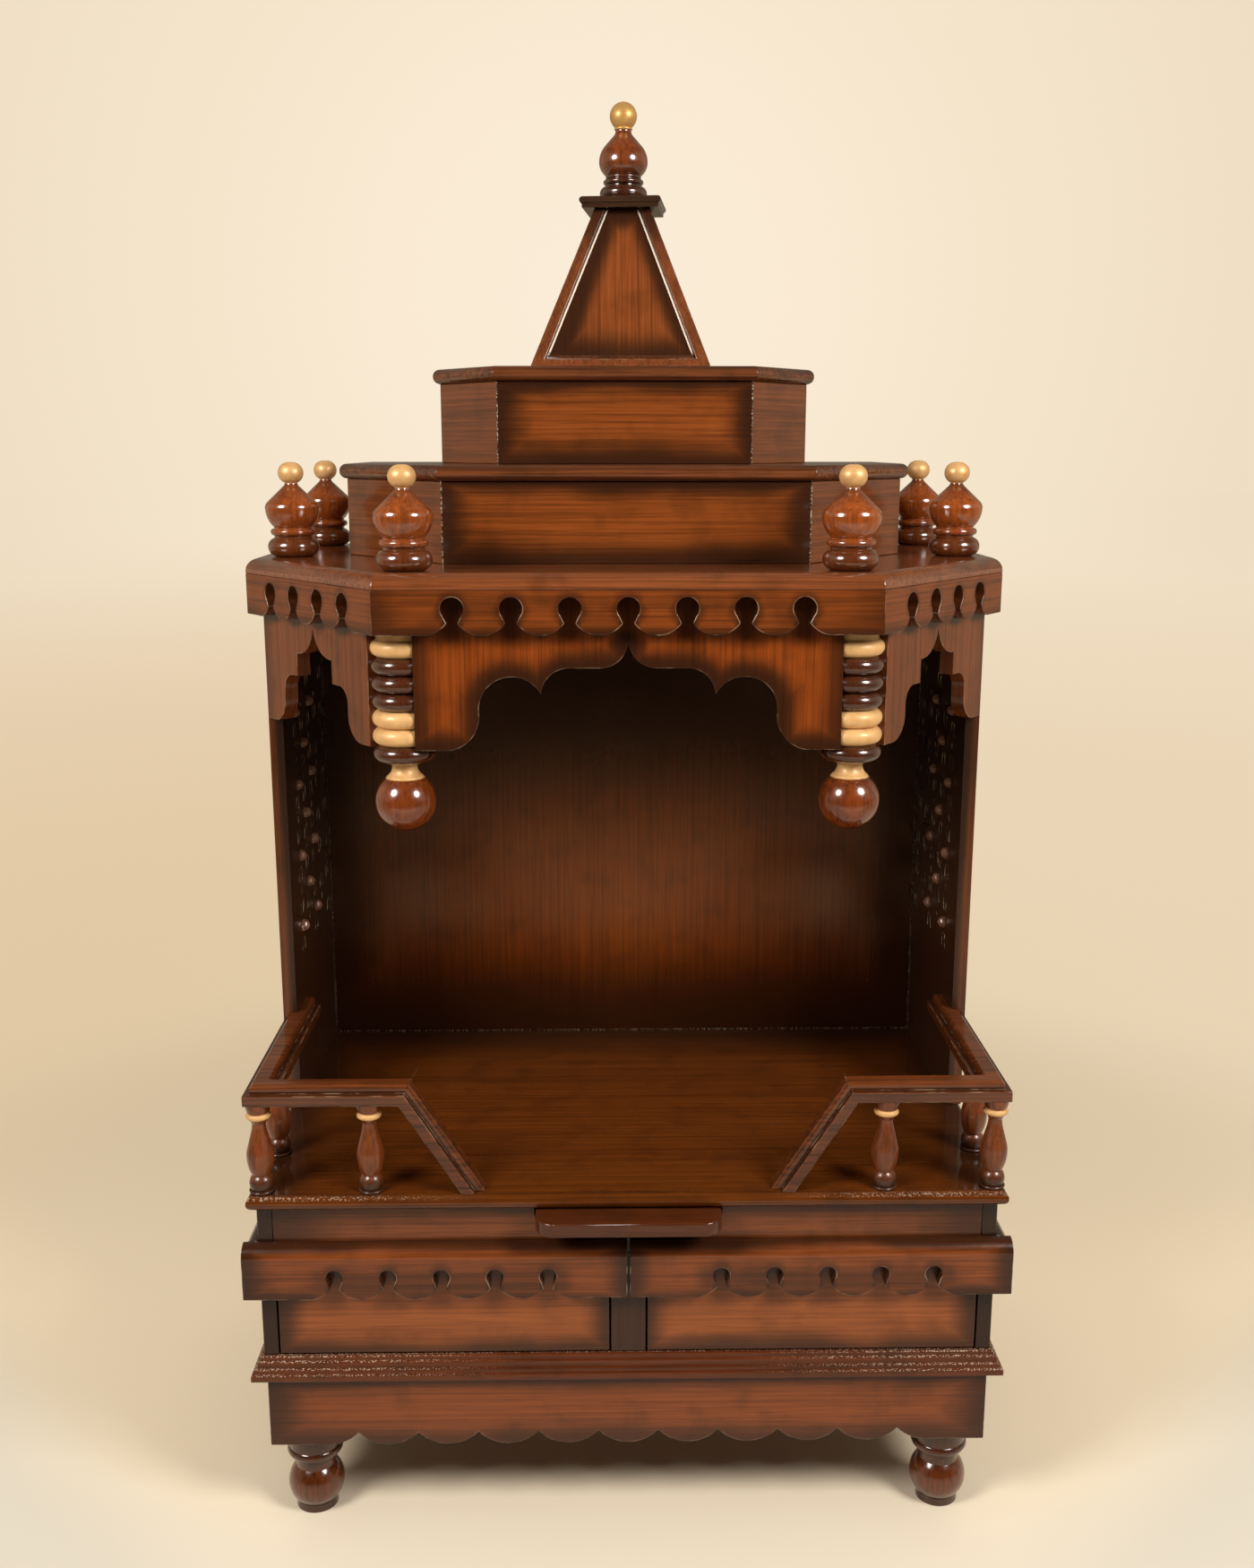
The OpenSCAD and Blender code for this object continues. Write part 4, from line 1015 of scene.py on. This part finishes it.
# The floor as the camera sees it, out to the reach
FAR_REACH = 10
FAR_PAPER = [(0.05, rgb(223, 199, 163)), (0.15, rgb(225, 201, 165)), (0.25, rgb(227, 203, 168)),
             (0.47, rgb(231, 208, 176)), (0.75, rgb(235, 214, 184)), (1.0, rgb(239, 220, 191))]


def ray_kinds(tree):
    """1 where the camera itself looks, and 1 where a gloss mirrors."""
    return [Field(tree).node("ShaderNodeLightPath", {}, {}, kind)
            for kind in ("Is Camera Ray", "Is Glossy Ray")]


paper = bpy.data.materials.new("floor_paper")
paper.use_nodes = True
tree = paper.node_tree
shader = tree.nodes["Principled BSDF"]
shader.inputs["Roughness"].default_value = 0.75
x, y, z = object_place(tree).xyz()
seen, mirrored = ray_kinds(tree)
# The paper near the shrine is darker to the front and out to the sides: painted shade that evens
# out the soft boxes' pool of light on it.
near = (-y).ease(0.05, 0.25).mix(rgb(240, 223, 194), rgb(231, 219, 199))
near = (abs(x) - y).ease(0.45, 0.66).mix(near, rgb(214, 207, 191))
tree.links.new(near.socket, shader.inputs["Base Color"])

# Far out, the camera sees paper that glows by itself and grows into the surround
far = x.reach(y)
haze = far.node("ShaderNodeValToRGB", {"stops": FAR_PAPER}, {0: far / FAR_REACH})
haze = (x.ease(-1.0, 1.0) * 0.35).mix(haze, rgb(246, 230, 204))
bearing = (x / (y + CAMERA_BACK)).reach(HALO_UP)
horizon = bearing.node("ShaderNodeValToRGB", {"stops": HALO}, {0: bearing})
haze = far.ease(3.0, 16.0).mix(haze, horizon)
glow = far.node("ShaderNodeEmission", {}, {"Color": haze, "Strength": 1.0})
surface = far.node("ShaderNodeMixShader", {}, {
    0: far.ease(0.62, 1.3) * seen, 1: Field(tree, shader.outputs[0]), 2: glow})

# The gloss mirrors a pale room beyond both sides, and a dark one before the shrine
pale = far.node("ShaderNodeEmission", {}, {"Color": rgb(182, 162, 136), "Strength": 1.0})
dim = far.node("ShaderNodeEmission", {}, {"Color": rgb(30, 24, 18), "Strength": 1.0})
beside = abs(x).ease(0.9, 2.2) * y.ease(-0.9, -0.3)
before = ((-y).ease(0.1, 0.4) * (-y).ease(1.0, 0.8) * 0.4).max((-y).ease(1.45, 2.0))
surface = far.node("ShaderNodeMixShader", {}, {0: beside * mirrored, 1: surface, 2: pale})
surface = far.node("ShaderNodeMixShader", {}, {0: before * mirrored, 1: surface, 2: dim})
tree.links.new(surface.socket, tree.nodes["Material Output"].inputs["Surface"])

work = bmesh.new()
bmesh.ops.create_circle(work, cap_ends=True, segments=96, radius=30)
floor = made_piece("studio_floor", work, paper)

world = bpy.data.worlds.new("studio")
bpy.context.scene.world = world
world.use_nodes = True
tree = world.node_tree
sky = tree.nodes["Background"]
across, back, rise = Field(tree).node("ShaderNodeTexCoord", {}, {}, "Generated").xyz()
seen, mirrored = ray_kinds(tree)
light = back.ease(-0.2, 0.5) * 0.5 + 0.06
gleam = back.ease(-0.1, 0.7) * 0.25 + abs(across).ease(0.7, 0.92) * 0.5 + 0.012
strength = seen + (1 - seen) * (mirrored * gleam + (1 - mirrored) * light)
from_middle = across.reach(rise - HALO_UP)
halo = from_middle.node("ShaderNodeValToRGB", {"stops": HALO}, {0: from_middle})
tree.links.new(seen.mix(ROOM, halo).socket, sky.inputs["Color"])
tree.links.new(strength.socket, sky.inputs["Strength"])


def soft_box(name, place, aim, size, power, tint, glossy=True):
    """A round lamp at place, turned towards aim; glossy says whether a gloss mirrors it."""
    lamp = bpy.data.lights.new(name, "AREA")
    lamp.shape = "DISK"
    lamp.size = size
    lamp.energy = power
    lamp.color = tint
    holder = bpy.data.objects.new(name, lamp)
    holder.location = place
    holder.visible_glossy = glossy
    holder.rotation_euler = (Vector(aim) - Vector(place)).to_track_quat("-Z", "Y").to_euler()
    bpy.context.scene.collection.objects.link(holder)


soft_box("soft_box_left", (-1.15, -1.05, 1.5), (0, 0, 0.6), 0.7, 27, (1.0, 0.96, 0.91))
soft_box("soft_box_right", (1.15, -1.05, 1.5), (0, 0, 0.6), 0.7, 30, (1.0, 0.96, 0.91))
soft_box("ceiling_light", (0, 0.3, 3.2), (0, 0, 0), 3.2, 30, (1.0, 0.97, 0.93), glossy=False)

camera = bpy.data.objects.new("camera", bpy.data.cameras.new("camera"))
camera.data.lens = 35.386
camera.data.sensor_width = 36
camera.location = (-0.0189, -1.2765, 0.8669)
camera.rotation_euler = (math.radians(90 - 12.37), 0, math.radians(-0.91))
bpy.context.scene.collection.objects.link(camera)
bpy.context.scene.camera = camera
bpy.context.scene.view_settings.view_transform = "Standard"
